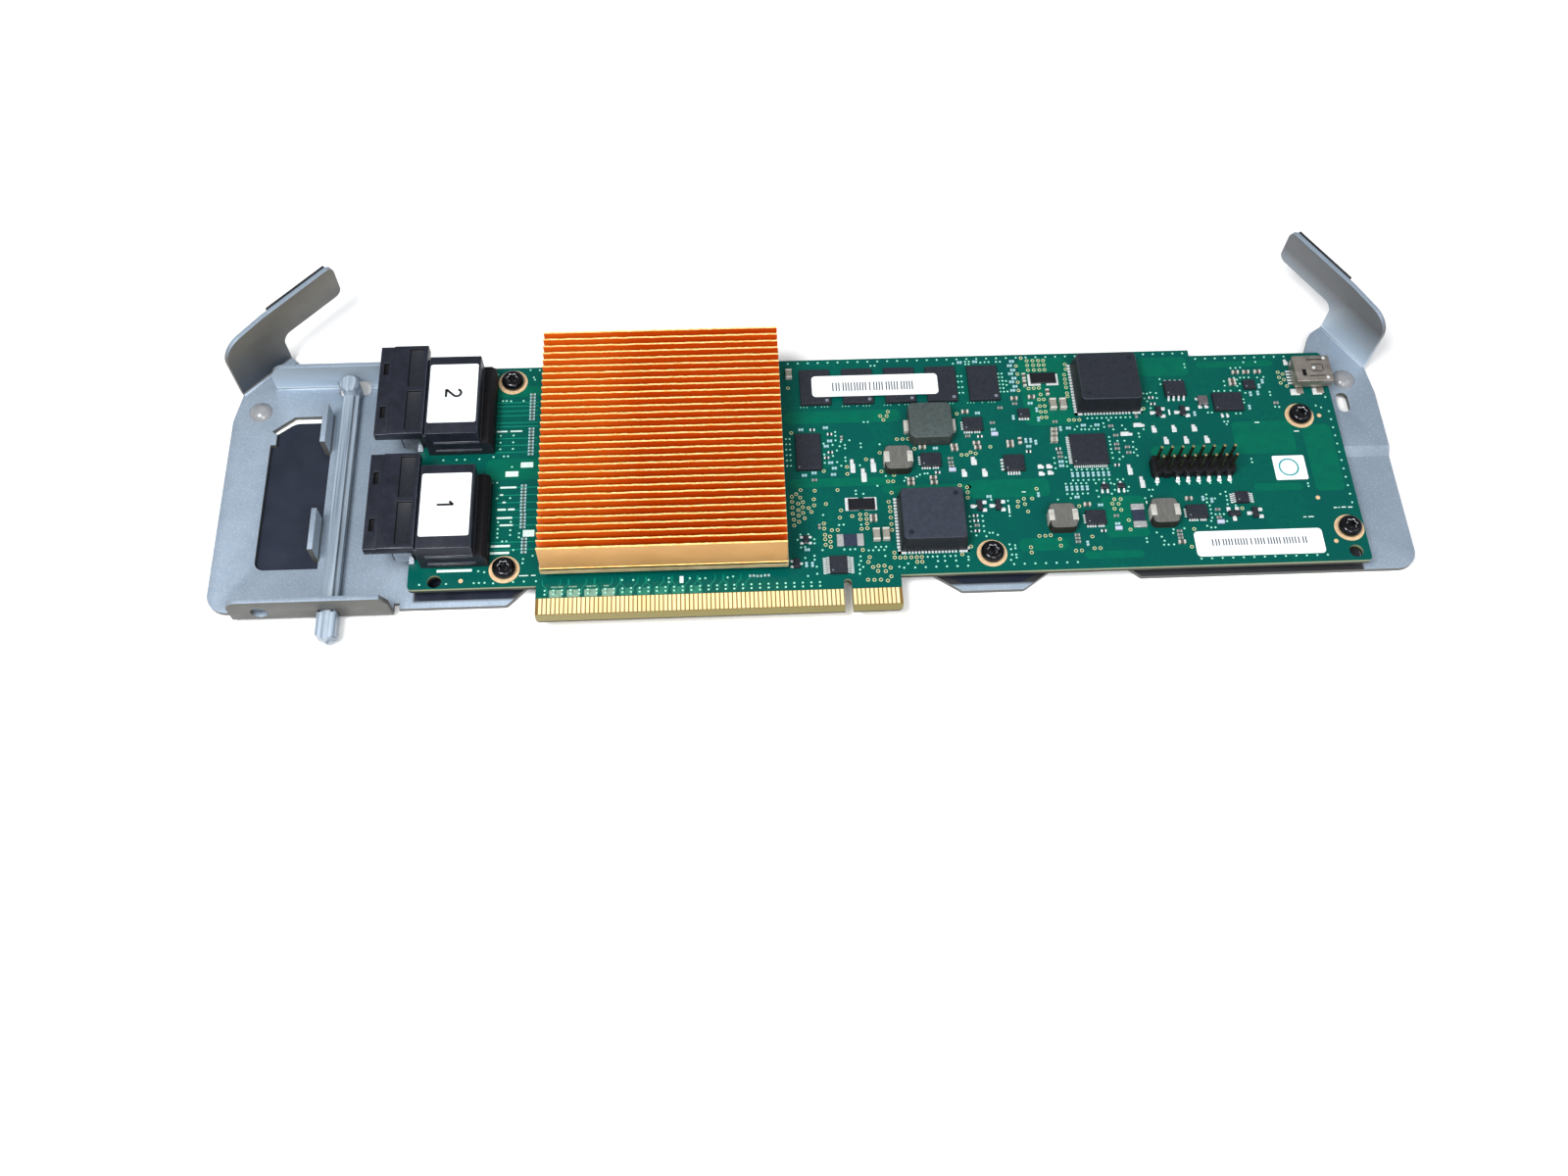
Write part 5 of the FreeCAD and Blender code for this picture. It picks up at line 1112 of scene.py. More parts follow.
@dataclass
class BoardPrint:
    """White printed bars, some of them painted highlights on traces, and traces that show through the mask."""

    legend_high: float = 0.03
    legend_round: float = 0.1
    trace_high: float = 0.012
    trace_wide: float = 0.22
    fan: Row = Row(-70, 0, 2, 0, 24)
    fan_levels: Area = (-2.2, -1.0, 0.3, 1.5)
    fan_bend: float = 1.1
    fan_wide: float = 0.14
    bundle_long: float = 10.5
    pour_round: float = 0.9
    ghosts: Row = Row(-69.5, -3.15, 4.06, 0, 9)
    ghost_outline: tuple[Point, ...] = ((0.15, 0), (3.0, 0), (3.1, 1.65), (2.8, 1.95), (0.3, 1.95), (0, 1.65))
    ghost_bars: tuple[Point, ...] = ((-69.1, -66.2), (-65, -63), (-60.9, -58.7), (-56.9, -55.5))
    ghost_bar_span: Point = (-0.65, -0.3)
    ghost_bar_round: float = 0.12
    legend_and_glints: tuple[Area, ...] = (
        # The bars from x -84 to -78 between y 8.7 and 27.3 are painted highlights: glints on traces, drawn as
        # white bars.
        (-95.8, 4.35, -87.6, 5.05), (-83.5, 10.6, -79, 11.2), (-83.6, 8.75, -79.1, 9.35),
        (-82, 26.8, -78.1, 27.3), (-82.4, 20.65, -80.4, 21.15), (-79.9, 20.65, -78.3, 21.15),
        (-82.5, 18.35, -78.8, 18.85), (-81.7, 16.35, -78.6, 16.8), (-82, 24.8, -81.2, 25.2),
        (-81.3, 22.7, -80.5, 23.1), (-83.5, 43, -80.9, 43.4), (-80.2, 43, -77.3, 43.4),
        (-80.9, 30.1, -77.8, 31.6), (-76.1, 13.3, -73.4, 15.1), (-77.3, 32.6, -74.3, 34.1),
        (-39.2, -0.4, -38.3, 1.4), (39.85, 15.7, 40.2, 18), (73.3, 17.2, 73.6, 18), (83, 42.6, 83.4, 44.2),
        (-76.6, 2.7, -74.4, 2.95), (-73.8, 2.7, -72.7, 2.95), (43.6, 21.4, 44.6, 21.65),
        (118.5, 14.4, 119.3, 14.7), (119.6, 14.4, 120, 14.7), (120.4, 14.45, 121.5, 14.75),
        (122, 14.4, 123.1, 14.7), (110.6, 12.1, 111.4, 12.35), (111.8, 12.1, 113.2, 12.35),
        (104, 39.5, 105.2, 39.8), (113.3, 36.6, 114.6, 36.9))
    bundles: tuple[Row, ...] = (
        Row(-84, 37.1, 0, 2.0, 3), Row(-84, 47.8, 0, 1.4, 2), Row(-83.5, 9.9, 0, 2.05, 2),
        Row(-82.5, 16.5, 0, 2.1, 6), Row(-84, 44.6, 0, 1.1, 2), Row(-84, 50.6, 0, 1.1, 2))
    pours: tuple[Area, ...] = (
        (-12.8, 24.6, 13.4, 27), (-12.8, 43, 16, 46.6), (9.6, 22.4, 31.6, 24.4), (30.8, 20.2, 50.5, 25.2),
        (47, 40.6, 59.2, 61), (41.4, 5.2, 53, 8.6), (62.6, 8.2, 73, 19.6), (56.4, 2.6, 71, 4.6),
        (98, 30.5, 113, 40), (100.2, 19.8, 112.6, 21.9), (115.4, 19.4, 122.6, 38.6), (77.4, 54.4, 90, 60.2),
        (92, 56.6, 112.2, 58.4), (-85.6, 29.2, -72, 35.2), (-84.2, 53.4, -73, 56.6), (76.8, 30.4, 95, 33.4))

    def build(self) -> None:
        """Makes the printed bars with the painted glints, the traces and the copper areas."""
        legend_and_glints = Shape(Shop.SILK)
        for area in self.legend_and_glints:
            legend_and_glints.slab(rectangle(*area, self.legend_round, 2), 0.0, self.legend_high)
        legend_and_glints.place("legend_and_glint_bars", "label_white")
        traces = Shape(Shop.TRACE)
        for bundle in self.bundles:
            for x, y in bundle.places:
                traces.strip([(x, y), (x + self.bundle_long, y)], self.trace_wide, 0.0, self.trace_high)
        for i, (x, _) in enumerate(self.fan.places):
            bend = x + (self.fan_bend if i % 3 else -self.fan_bend)
            traces.strip(list(zip((x, x, bend, bend), self.fan_levels)), self.fan_wide, 0.0, self.trace_high)
        traces.place("masked_traces", "board_green")
        pours = Shape(Shop.POUR)
        for area in self.pours:
            pours.slab(rectangle(*area, self.pour_round, 1), 0.0, self.trace_high / 2)
        for i, (x, y) in enumerate(self.ghosts.places):
            pours.take(Shop.GHOST if i < len(self.ghost_bars) else Shop.FAINT)
            pours.slab([(x + u, y + v) for u, v in self.ghost_outline], 0.0, self.trace_high)
        pours.take(Shop.GHOST)
        low, high = self.ghost_bar_span
        for x0, x1 in self.ghost_bars:
            pours.slab(rectangle(x0, low, x1, high, self.ghost_bar_round, 2), 0.0, self.trace_high)
        pours.place("masked_pours", "board_green")


@dataclass(frozen=True)
class PadLayer:
    """One layer of a pad: its finish, its edges as shares of the pad, corner radius, height and bevel."""

    finish: Shop
    edges: Area
    radius: float
    high: float
    bevel: float


@dataclass
class SolderPads:
    """Bare tinned pads, and the pads round the flat resistors and power modules."""

    layers: tuple[PadLayer, ...] = (
        PadLayer(Shop.DULL_TIN, (0.0, 0.35, 0.78, 1.0), 0.18, 0.048, 0.02),
        PadLayer(Shop.TIN, (0.0, 0.0, 1.0, 0.66), 0.18, 0.12, 0.05),
        PadLayer(Shop.TIN, (0.1, 0.7, 0.7, 0.95), 0.108, 0.084, 0.03))
    corner_high: float = 0.06
    corner_round: float = 0.08
    pads: tuple[Area, ...] = (
        (2.6, 28.4, 3.8, 32.3), (7.6, 28.4, 8.9, 32.3), (5.1, 25.7, 6.4, 29.6), (32.2, 29.6, 33.6, 32),
        (29.6, 26.3, 30.9, 28.5), (34.6, 26.2, 35.9, 28.5), (48.35, 28, 49.85, 29.2),
        (50.45, 28, 51.95, 29.2), (48.35, 26, 49.85, 27.2), (50.55, 26.2, 52.05, 27.4),
        (70.2, 25.5, 71.4, 28.5), (72.7, 21.7, 73.9, 25), (73.6, 39.3, 76.4, 40.5), (70, 36.8, 73, 38),
        (78, 37.5, 79.2, 39.6), (83, 37.5, 84.2, 39.6), (88, 37.5, 89.3, 39.6), (80.5, 34, 81.7, 36.2),
        (85.5, 34, 86.7, 36.2), (90.6, 34, 91.9, 36.2), (96, 41.4, 96.7, 42.6), (97.3, 41.4, 98, 42.6),
        (90.7, 44.3, 91.7, 45.2), (92.3, 44.3, 93.3, 45.2), (90.3, 46.8, 90.9, 47.6),
        (114.8, 56.7, 115.9, 58.5), (114.8, 47.5, 117.2, 49.4), (120.4, 47.5, 122.8, 49.6))
    corners: tuple[Area, ...] = (
        (0.7, 17.7, 3.9, 21.3), (5.2, 17.7, 8.3, 21.3), (49, 52.5, 52.1, 56), (53.5, 52.5, 56.6, 56),
        (12.4, 5.4, 14.4, 6.2), (12.4, 5.4, 13.2, 6.7), (26.9, 5.45, 29.4, 6.2), (28.9, 5.45, 29.4, 7),
        (59.4, 43.2, 61.4, 44), (59.4, 43.2, 60.3, 44.5), (74, 43.25, 76.5, 44), (76, 43.25, 76.5, 44.8))

    def build(self) -> None:
        """Makes the pads, each with a dull film, a full front and a drop behind it."""
        pads = Shape()
        for x, y, right, back in self.pads:
            for layer in self.layers:
                x0, x1 = (x + share * (right - x) for share in layer.edges[::2])
                y0, y1 = (y + share * (back - y) for share in layer.edges[1::2])
                outline = rectangle(x0, y0, x1, y1, layer.radius, 3)
                pads.take(layer.finish).slab(outline, 0.0, layer.high, layer.bevel)
        for area in self.corners:
            pads.slab(rectangle(*area, self.corner_round, 2), 0.0, self.corner_high)
        pads.place("tinned_pads", "terminal_tin")


@dataclass
class Screws:
    """The five pan-head screws with a lobed recess."""

    spots: tuple[Point, ...] = Board.screws
    tips: tuple[float, ...] = (-4.17, -4.17, -4.17, -4.17, -2.67)
    head: float = 2.75
    seat: float = 0.06
    rise: float = 2.1
    profile: tuple[Point, ...] = (
        (0.94, 0.0), (1.0, 0.12), (1.0, 0.45), (0.96, 0.68), (0.85, 0.87), (0.7, 0.97), (0.56, 1.0))
    recess: float = 1.25
    recess_walls: tuple[Point, ...] = ((1.12, 0.0), (1.0, 0.14), (0.94, 1.1))
    lobe: float = 0.14
    lobe_count: int = 6
    shaft: float = 1.4
    steps: int = 48

    def lobes(self, x: float, y: float, radius: float) -> list[Point]:
        """Outline of the six-lobed recess.

        Args:
            x: Centre along x.
            y: Centre along y.
            radius: Radius at the tips of the lobes.

        Returns:
            The outline, anticlockwise.
        """
        points = []
        for i in range(self.steps):
            turn = 2 * math.pi * i / self.steps
            reach = radius * (1 - self.lobe + self.lobe * math.cos(self.lobe_count * turn))
            points.append((x + reach * math.cos(turn), y + reach * math.sin(turn)))
        return points

    def build(self) -> None:
        """Makes all screws as one piece."""
        shape = Shape()
        for (x, y), tip in zip(self.spots, self.tips):
            layers = [(circle(x, y, self.shaft, self.steps), level) for level in (tip, self.seat)]
            for share, up in self.profile:
                level = self.seat + (self.rise - self.seat) * up
                layers.append((circle(x, y, self.head * share, self.steps), level))
            mouth, lip, floor = ((self.lobes(x, y, self.recess * size), self.rise - deep)
                                 for size, deep in self.recess_walls)
            shape.take(Shop.SCREW).stack(*layers, mouth, cap_end=False)
            # Painted highlight on the walls at the mouth of the recess.
            shape.take(Shop.SCREW_WORN).stack(mouth, lip, cap_start=False, cap_end=False)
            shape.take(Shop.SCREW).stack(lip, floor, cap_start=False)
        shape.place("pan_head_screws", "screw_black", "board_screws")


@dataclass
class HeatSink:
    """The skived copper heat sink over the controller chip."""

    fins: int = 31
    pitch: float = 2.0
    thick: float = 0.4
    edge: float = 0.14
    base: float = 2.6
    bead: tuple[Point, ...] = ((0.0, -0.8), (0.2, -0.8), (0.2, 0.03), (0.12, 0.02), (0.0, -0.1))
    bead_gap: float = 0.3
    side_gap: float = 0.4
    front_gap: float = 0.15
    root: float = 0.02
    steps: int = 96
    seed: int = 100
    wander: float = 0.035
    sway: float = 0.7
    crest: float = 0.13
    crest_range: Point = (0.6, 1.5)
    slim_range: Point = (0.22, 0.42)
    nick: float = 0.05
    crease: float = 10.0

    def build(self) -> None:
        """Makes the finned block and dresses what lies under it."""
        low, high = span("heat_sink")
        top = low.z + self.base
        shape = Shape(Shop.BASE)
        shape.block(low, (high.x, high.y, top), self.edge)
        ends = (low.x + self.bead_gap, high.x - self.bead_gap)
        # The bead along the front of the base takes the painted highlight.
        shape.take(Shop.CREST).skin([(x, low.y + y, top + z) for y, z in self.bead] for x in ends)
        for i in range(self.fins):
            self.fin(shape, i, low, high)
        shape.place("skived_fins", "copper", "heat_sink", crease=self.crease)
        dress("controller_chip", Shop.CHIP)
        dress("thermal_pad", Shop.THERMAL)

    def fin(self, shape: Shape, index: int, low: Vector, high: Vector) -> None:
        """Adds one fin, whose crest wanders and breaks a little along its length.

        Args:
            shape: The shape it belongs to.
            index: Number of the fin, from the front.
            low: Lowest corner of the heat sink.
            high: Highest corner of the heat sink.
        """
        chance = random.Random(self.seed + index)
        y0 = low.y + self.front_gap + self.pitch * index
        x0, x1 = low.x + self.side_gap, high.x - self.side_gap
        foot, lean = low.z + self.base - self.root, 0.0
        sections = []
        for k in range(self.steps + 1):
            x = x0 + (x1 - x0) * k / self.steps
            lean = (self.sway * lean + chance.uniform(-self.wander, self.wander)) * bool(index)
            depth = self.crest * chance.uniform(*self.crest_range)
            slim = self.thick * chance.uniform(*self.slim_range)
            middle, top = y0 + self.thick / 2 + lean, high.z - chance.uniform(0.0, self.nick)
            sections.append(shape.loop((
                (x, y0, foot), (x, y0 + lean, top - depth), (x, middle - slim, top), (x, middle + slim, top),
                (x, y0 + self.thick + lean, top - depth), (x, y0 + self.thick, foot))))
        front = Shop.COPPER if index else Shop.FACE
        # The front bevel and the top of each crest take the painted highlight.
        for j, finish in enumerate((Shop.COPPER, front, Shop.CREST, Shop.CREST, Shop.COPPER, Shop.COPPER)):
            shape.take(finish)
            for here, there in zip(sections, sections[1:]):
                shape.face((here[j - 1], there[j - 1], there[j], here[j]))
        shape.take(Shop.COPPER).face(sections[0])
        shape.face(sections[-1][::-1])


@dataclass
class DataPort:
    """One double data port with its clips, contacts and numbered label."""

    number: int
    edge: float = 0.16
    wall: float = 0.3
    lip: float = 0.02
    pocket: float = 1.6
    recess: float = 0.5
    slot: float = 0.9
    ledge: float = 2.5
    label_round: float = 0.5
    label_edge: float = 0.03
    stroke: float = 0.62
    ink: float = 0.02
    one: tuple[tuple[Point, ...], ...] = (((0.15, 1.95), (0.15, -1.95)), ((0.2, 1.8), (-0.75, 0.9)))
    two_bow: float = 1.014
    two_centre: float = 0.936
    two_turn: Point = (165.0, -40.0)
    two_steps: int = 12
    two_heel: Point = (-0.9633, -1.54)
    two_foot: tuple[Point, ...] = ((-1.1661, -1.64), (1.1661, -1.64))

    def build(self) -> None:
        """Makes the port."""
        tag = f"port_{self.number}"
        self.mouldings(tag)
        dress(f"{tag}_clips", Shop.CLIP)
        dress(f"{tag}_contacts", Shop.GOLD)
        low, high = span(f"{tag}_label")
        label = Shape(Shop.PAPER)
        label.slab(rectangle(*low.xy, *high.xy, self.label_round), low.z, high.z, self.label_edge)
        label.take(Shop.INK)
        for line in self.digit():
            placed = [((low.x + high.x) / 2 + v, (low.y + high.y) / 2 - u) for u, v in line]
            label.strip(placed, self.stroke, high.z, high.z + self.ink)
        label.place(f"{tag}_paper", "label_white", f"{tag}_label")

    def mouldings(self, tag: str) -> None:
        """Makes the shroud with painted shade in its pocket and the housing with painted shade on its ledge.

        Args:
            tag: How the names of the port's nodes begin.
        """
        shroud = Shape.copy_of(f"{tag}_shroud", Shop.BLACK, self.edge, rim=Shop.BLACK_RIM)
        low, high = span(f"{tag}_shroud")
        inner = Vector((low.x + self.wall, low.y + self.wall, high.z - self.pocket))
        outer = high - Vector((self.wall, self.wall, self.lip))
        shroud.repaint(Shop.BLACK, inner, outer)
        # Painted shade in the pocket: darker floors, near-black walls and near-black floors deeper down.
        shroud.repaint(Shop.RECESS, inner, outer - Vector((0, 0, self.recess)))
        shroud.repaint(Shop.SLOT, inner, outer, True)
        shroud.repaint(Shop.SLOT, inner, outer - Vector((0, 0, self.slot)))
        shroud.place(f"{tag}_shroud_moulding", "connector_black", f"{tag}_shroud")
        housing = Shape.copy_of(f"{tag}_housing", Shop.BLACK, self.edge, rim=Shop.BLACK_RIM)
        low, high = span(f"{tag}_housing")
        # Painted shade on the ledge at the housing's right side.
        housing.repaint(Shop.SLOT, (high.x - self.ledge, low.y, low.z), high)
        housing.place(f"{tag}_housing_moulding", "connector_black", f"{tag}_housing")

    def digit(self) -> Sequence[Sequence[Point]]:
        """Lines of the port's number, upright about its own middle.

        Returns:
            The points of each line.
        """
        if self.number == 1:
            return self.one
        start, end = self.two_turn
        bow = []
        for i in range(self.two_steps + 1):
            turn = math.radians(start + (end - start) * i / self.two_steps)
            bow.append((self.two_bow * math.cos(turn), self.two_centre + self.two_bow * math.sin(turn)))
        return [*bow, self.two_heel], self.two_foot


@dataclass(frozen=True)
class LegRow:
    """A row of equal pads along one side of a chip, or of bent leads if they rise."""

    row: Row
    side: Side
    long: float
    wide: float
    rise: float = 0.0
    lead_thick: float = 0.12
    pad_high: float = 0.08
    pad_edge: float = 0.02
    pad_round: float = 0.3

    def lay(self, shape: Shape) -> None:
        """Adds the row to a shape.

        Args:
            shape: The shape of all pads and leads.
        """
        out = Vector(self.side.value) * (self.long / 2)
        across = Vector((abs(out.y), abs(out.x))).normalized() * (self.wide / 2)
        half = Vector((abs(out.x), abs(out.y))) + across
        for place in self.row.places:
            middle = Vector(place)
            if self.rise:
                shape.lead((*(middle - out), self.rise), tuple(middle + out), self.wide, self.lead_thick)
            else:
                outline = rectangle(*(middle - half), *(middle + half), min(half) * self.pad_round, 2)
                shape.slab(outline, 0.0, self.pad_high, self.pad_edge)


def regulator_pads(x: float, next_x: float, y: float, side_x: float, side_y: float) -> tuple[LegRow, ...]:
    """Pads of one regulator chip.

    Args:
        x: Left end of the first row in front.
        next_x: Left end of the second row in front.
        y: Where both rows in front lie.
        side_x: Where the row at the left lies.
        side_y: Lower end of the row at the left.

    Returns:
        The three rows.
    """
    return (LegRow(Row(x, y, 0.6, 0, 4), Side.FRONT, 0.55, 0.42),
            LegRow(Row(next_x, y, 0.55, 0, 3), Side.FRONT, 0.55, 0.4),
            LegRow(Row(side_x, side_y, 0, 0.65, 4), Side.LEFT, 0.5, 0.36))


def module_pads(x: float, y: float, front_x: float, front_y: float) -> tuple[LegRow, ...]:
    """Pads at the left and in front of one power module, from the lower and the left end of its rows."""
    return (LegRow(Row(x, y, 0, 0.88, 16), Side.LEFT, 0.9, 0.6),
            LegRow(Row(front_x, front_y, 0.79, 0, 15), Side.FRONT, 0.75, 0.46))


@dataclass(frozen=True)
class Chip:
    """A moulded chip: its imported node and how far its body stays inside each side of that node."""

    node: str
    left: float = 0.0
    front: float = 0.0
    right: float = 0.0
    back: float = 0.0
    can: bool = False


@dataclass
class Chips:
    """The moulded chips on the board, with their pads and leads."""

    edge: float = 0.08
    draft: float = 0.05
    mark_sunk: float = 0.01
    mark_high: float = 0.004
    square_mark: Point = (1.0, 0.38)
    round_mark: Point = (0.7, 0.2)
    mark_steps: int = 16
    chips: tuple[Chip, ...] = (
        Chip("flash_chip"), Chip("logic_chip", 0.15, 0.55), Chip("boot_chip", 0.0, 0.25),
        Chip("small_memory_chip"), Chip("sensor_chip_1", 0.2, 0.6), Chip("sensor_chip_2"),
        Chip("buffer_chip_1"), Chip("buffer_chip_2"), Chip("crystal", 0.15, 0.7, can=True),
        Chip("regulator_chip_1", 0.1, 0.7), Chip("regulator_chip_2", 0.1, 0.8),
        Chip("regulator_chip_3", 0.1, 0.6), Chip("regulator_chip_4", 0.1, 0.6),
        Chip("regulator_chip_5", 0.1, 0.75), Chip("memory_chip_1", 0.2, 0.6, 0.8, 0.4),
        Chip("memory_chip_2", 0.45, 0.6, 0.55, 0.4), Chip("memory_chip_3", 0.65, 0.6, 0.35, 0.4),
        Chip("memory_chip_4", 0.75, 0.6, 0.25, 0.4), Chip("memory_chip_5", 0.9, 0.6, 0.1, 0.4))
    legs: tuple[LegRow, ...] = (
        *module_pads(12.75, 7.3, 15.05, 5.8), *module_pads(59.85, 45.1, 62.1, 43.6),
        *regulator_pads(31.5, 34.1, 39.1, 31, 40.1), *regulator_pads(20.2, 22.9, 29.1, 19.6, 30.3),
        *regulator_pads(58.35, 61.05, 11.4, 57.8, 12.5), *regulator_pads(83.1, 85.8, 12.25, 82.3, 13.3),
        LegRow(Row(56.65, 29.3, 0, 0.5, 16), Side.LEFT, 0.8, 0.28),
        LegRow(Row(57.5, 28.25, 0.52, 0, 16), Side.FRONT, 0.8, 0.28),
        LegRow(Row(41.05, 26.9, 0.66, 0, 5), Side.FRONT, 0.9, 0.42),
        LegRow(Row(39.75, 28.1, 0, 0.9, 4), Side.LEFT, 0.7, 0.5),
        LegRow(Row(45.6, 42.6, 0.7, 0, 4), Side.FRONT, 0.6, 0.5),
        LegRow(Row(83.6, 47.25, 1.27, 0, 4), Side.FRONT, 1.1, 0.5, 0.7),
        LegRow(Row(83.6, 52.5, 1.27, 0, 4), Side.BACK, 1.1, 0.5, 0.7),
        LegRow(Row(-4.75, 0.9, 0, 0.56, 8), Side.LEFT, 1.5, 0.3, 0.5),
        LegRow(Row(0.95, 0.9, 0, 0.56, 8), Side.RIGHT, 1.5, 0.3, 0.5),
        LegRow(Row(94.45, 16.8, 0, 0.56, 5), Side.LEFT, 1.2, 0.32, 0.5),
        LegRow(Row(98.8, 16.8, 0, 0.56, 5), Side.RIGHT, 1.3, 0.32, 0.5),
        LegRow(Row(115.2, 51.1, 0, 0.9, 5), Side.LEFT, 1.0, 0.5))

    def build(self) -> None:
        """Makes each chip with softened edges and a small corner mark, then all pads and leads."""
        for chip in self.chips:
            low, high = span(chip.node)
            low += Vector((chip.left, chip.front, 0.0))
            high -= Vector((chip.right, chip.back, 0.0))
            shape = Shape(Shop.CAN if chip.can else Shop.CHIP)
            shape.slab(rectangle(*low.xy, *high.xy), low.z, high.z, self.edge, self.draft)
            shape.take(Shop.MARK)
            levels = (high.z - self.mark_sunk, high.z + self.mark_high)
            if chip.node.startswith("memory"):
                away, half = self.square_mark
                x, y = high.x - away, low.y + away
                shape.slab(rectangle(x - half, y - half, x + half, y + half), *levels)
            elif not chip.can:
                away, radius = self.round_mark
                shape.disc((low.x + away, low.y + away), radius, *levels, self.mark_steps)
            shape.place(f"{chip.node}_body", "chip_black", chip.node)
        legs = Shape(Shop.TIN)
        for row in self.legs:
            row.lay(legs)
        legs.place("chip_leads", "terminal_tin")


@dataclass(frozen=True)
class Transistor:
    """A small leaded part: centre and size of its body, where its feet rest and the size of a foot."""

    x: float
    y: float
    wide: float
    deep: float
    feet: tuple[Point, ...]
    foot: Point = (1.15, 0.95)


@dataclass
class Transistors:
    """The small leaded parts."""

    low: float = 0.1
    high: float = 0.95
    edge: float = 0.12
    draft: float = 0.08
    foot_high: float = 0.09
    foot_edge: float = 0.03
    foot_round: float = 0.15
    lead_level: float = 0.5
    lead_wide: float = 0.42
    lead_thick: float = 0.14
    parts: tuple[Transistor, ...] = (
        Transistor(33, 17.9, 1.35, 2.8, ((31.4, 17.9), (34.2, 18.95), (34.1, 16.8))),
        Transistor(37.45, 17.9, 1.35, 2.8, ((35.95, 17.9), (38.7, 18.95), (38.6, 16.8))),
        Transistor(80.4, 43.5, 1.4, 2.8, ((78.9, 43.35), (81.65, 44.45), (81.5, 42.3))),
        Transistor(86.45, 43.5, 1.4, 2.8, ((85, 43.3), (87.85, 44.3), (87.7, 42.3))),
        Transistor(99.15, 13.7, 1.4, 2.8, ((97.8, 13.7), (100.5, 14.65), (100.5, 12.75))),
        Transistor(94, 13.6, 2.8, 1.4, ((92.95, 14.95), (95, 14.95), (94, 12.3)), (0.95, 1.2)),
        Transistor(63.9, 22.1, 1.8, 1.3, ((63.2, 20.9), (64.5, 20.9), (63.9, 23.3)), (0.6, 0.8)),
        Transistor(67.9, 22.2, 1.8, 1.3, ((67.2, 20.95), (68.5, 20.95), (67.9, 23.4)), (0.6, 0.8)),
        Transistor(-9.2, 10, 1.3, 2, ((-10.2, 10.8), (-10.2, 9.2), (-8.2, 10.8), (-8.2, 9.2)), (0.8, 0.6)),
        Transistor(-11.7, 3.6, 1.6, 2.4, ((-12.8, 4.4), (-12.8, 3), (-10.6, 3.7)), (0.7, 0.6)))

    def build(self) -> None:
        """Makes bodies and leads as one piece."""
        shape = Shape()
        for part in self.parts:
            x0, y0 = part.x - part.wide / 2, part.y - part.deep / 2
            outline = rectangle(x0, y0, x0 + part.wide, y0 + part.deep)
            shape.take(Shop.CHIP).slab(outline, self.low, self.high, self.edge, self.draft)
            shape.take(Shop.TIN)
            for x, y in part.feet:
                w, d = part.foot[0] / 2, part.foot[1] / 2
                pad = rectangle(x - w, y - d, x + w, y + d, self.foot_round, 2)
                shape.slab(pad, 0.0, self.foot_high, self.foot_edge)
                side = abs(x - part.x) / part.wide > abs(y - part.y) / part.deep
                root = (part.x if side else x, y if side else part.y, self.lead_level)
                shape.lead(root, (x, y), self.lead_wide, self.lead_thick)
        shape.place("small_transistors", "chip_black")


class Tiny(Enum):
    """Kinds of tiny two-ended parts: length, width, height, length of an end, and the two finishes."""

    RESISTOR = (1.3, 0.6, 0.4, 0.4, Shop.RESISTOR, Shop.TIN)
    PALE = (1.25, 0.66, 0.45, 0.42, Shop.PALE, Shop.PALE_TIN)
    VIOLET = (1.7, 0.95, 0.6, 0.4, Shop.VIOLET, Shop.VIOLET)
    GREY = (1.25, 0.65, 0.45, 0.3, Shop.GREY, Shop.DULL_TIN)
    CERAMIC = (1.75, 0.9, 0.7, 0.5, Shop.BROWN, Shop.CREAM_TIN)
    CHAIN = (1.4, 0.55, 0.35, 0.42, Shop.GREY, Shop.PALE_TIN)


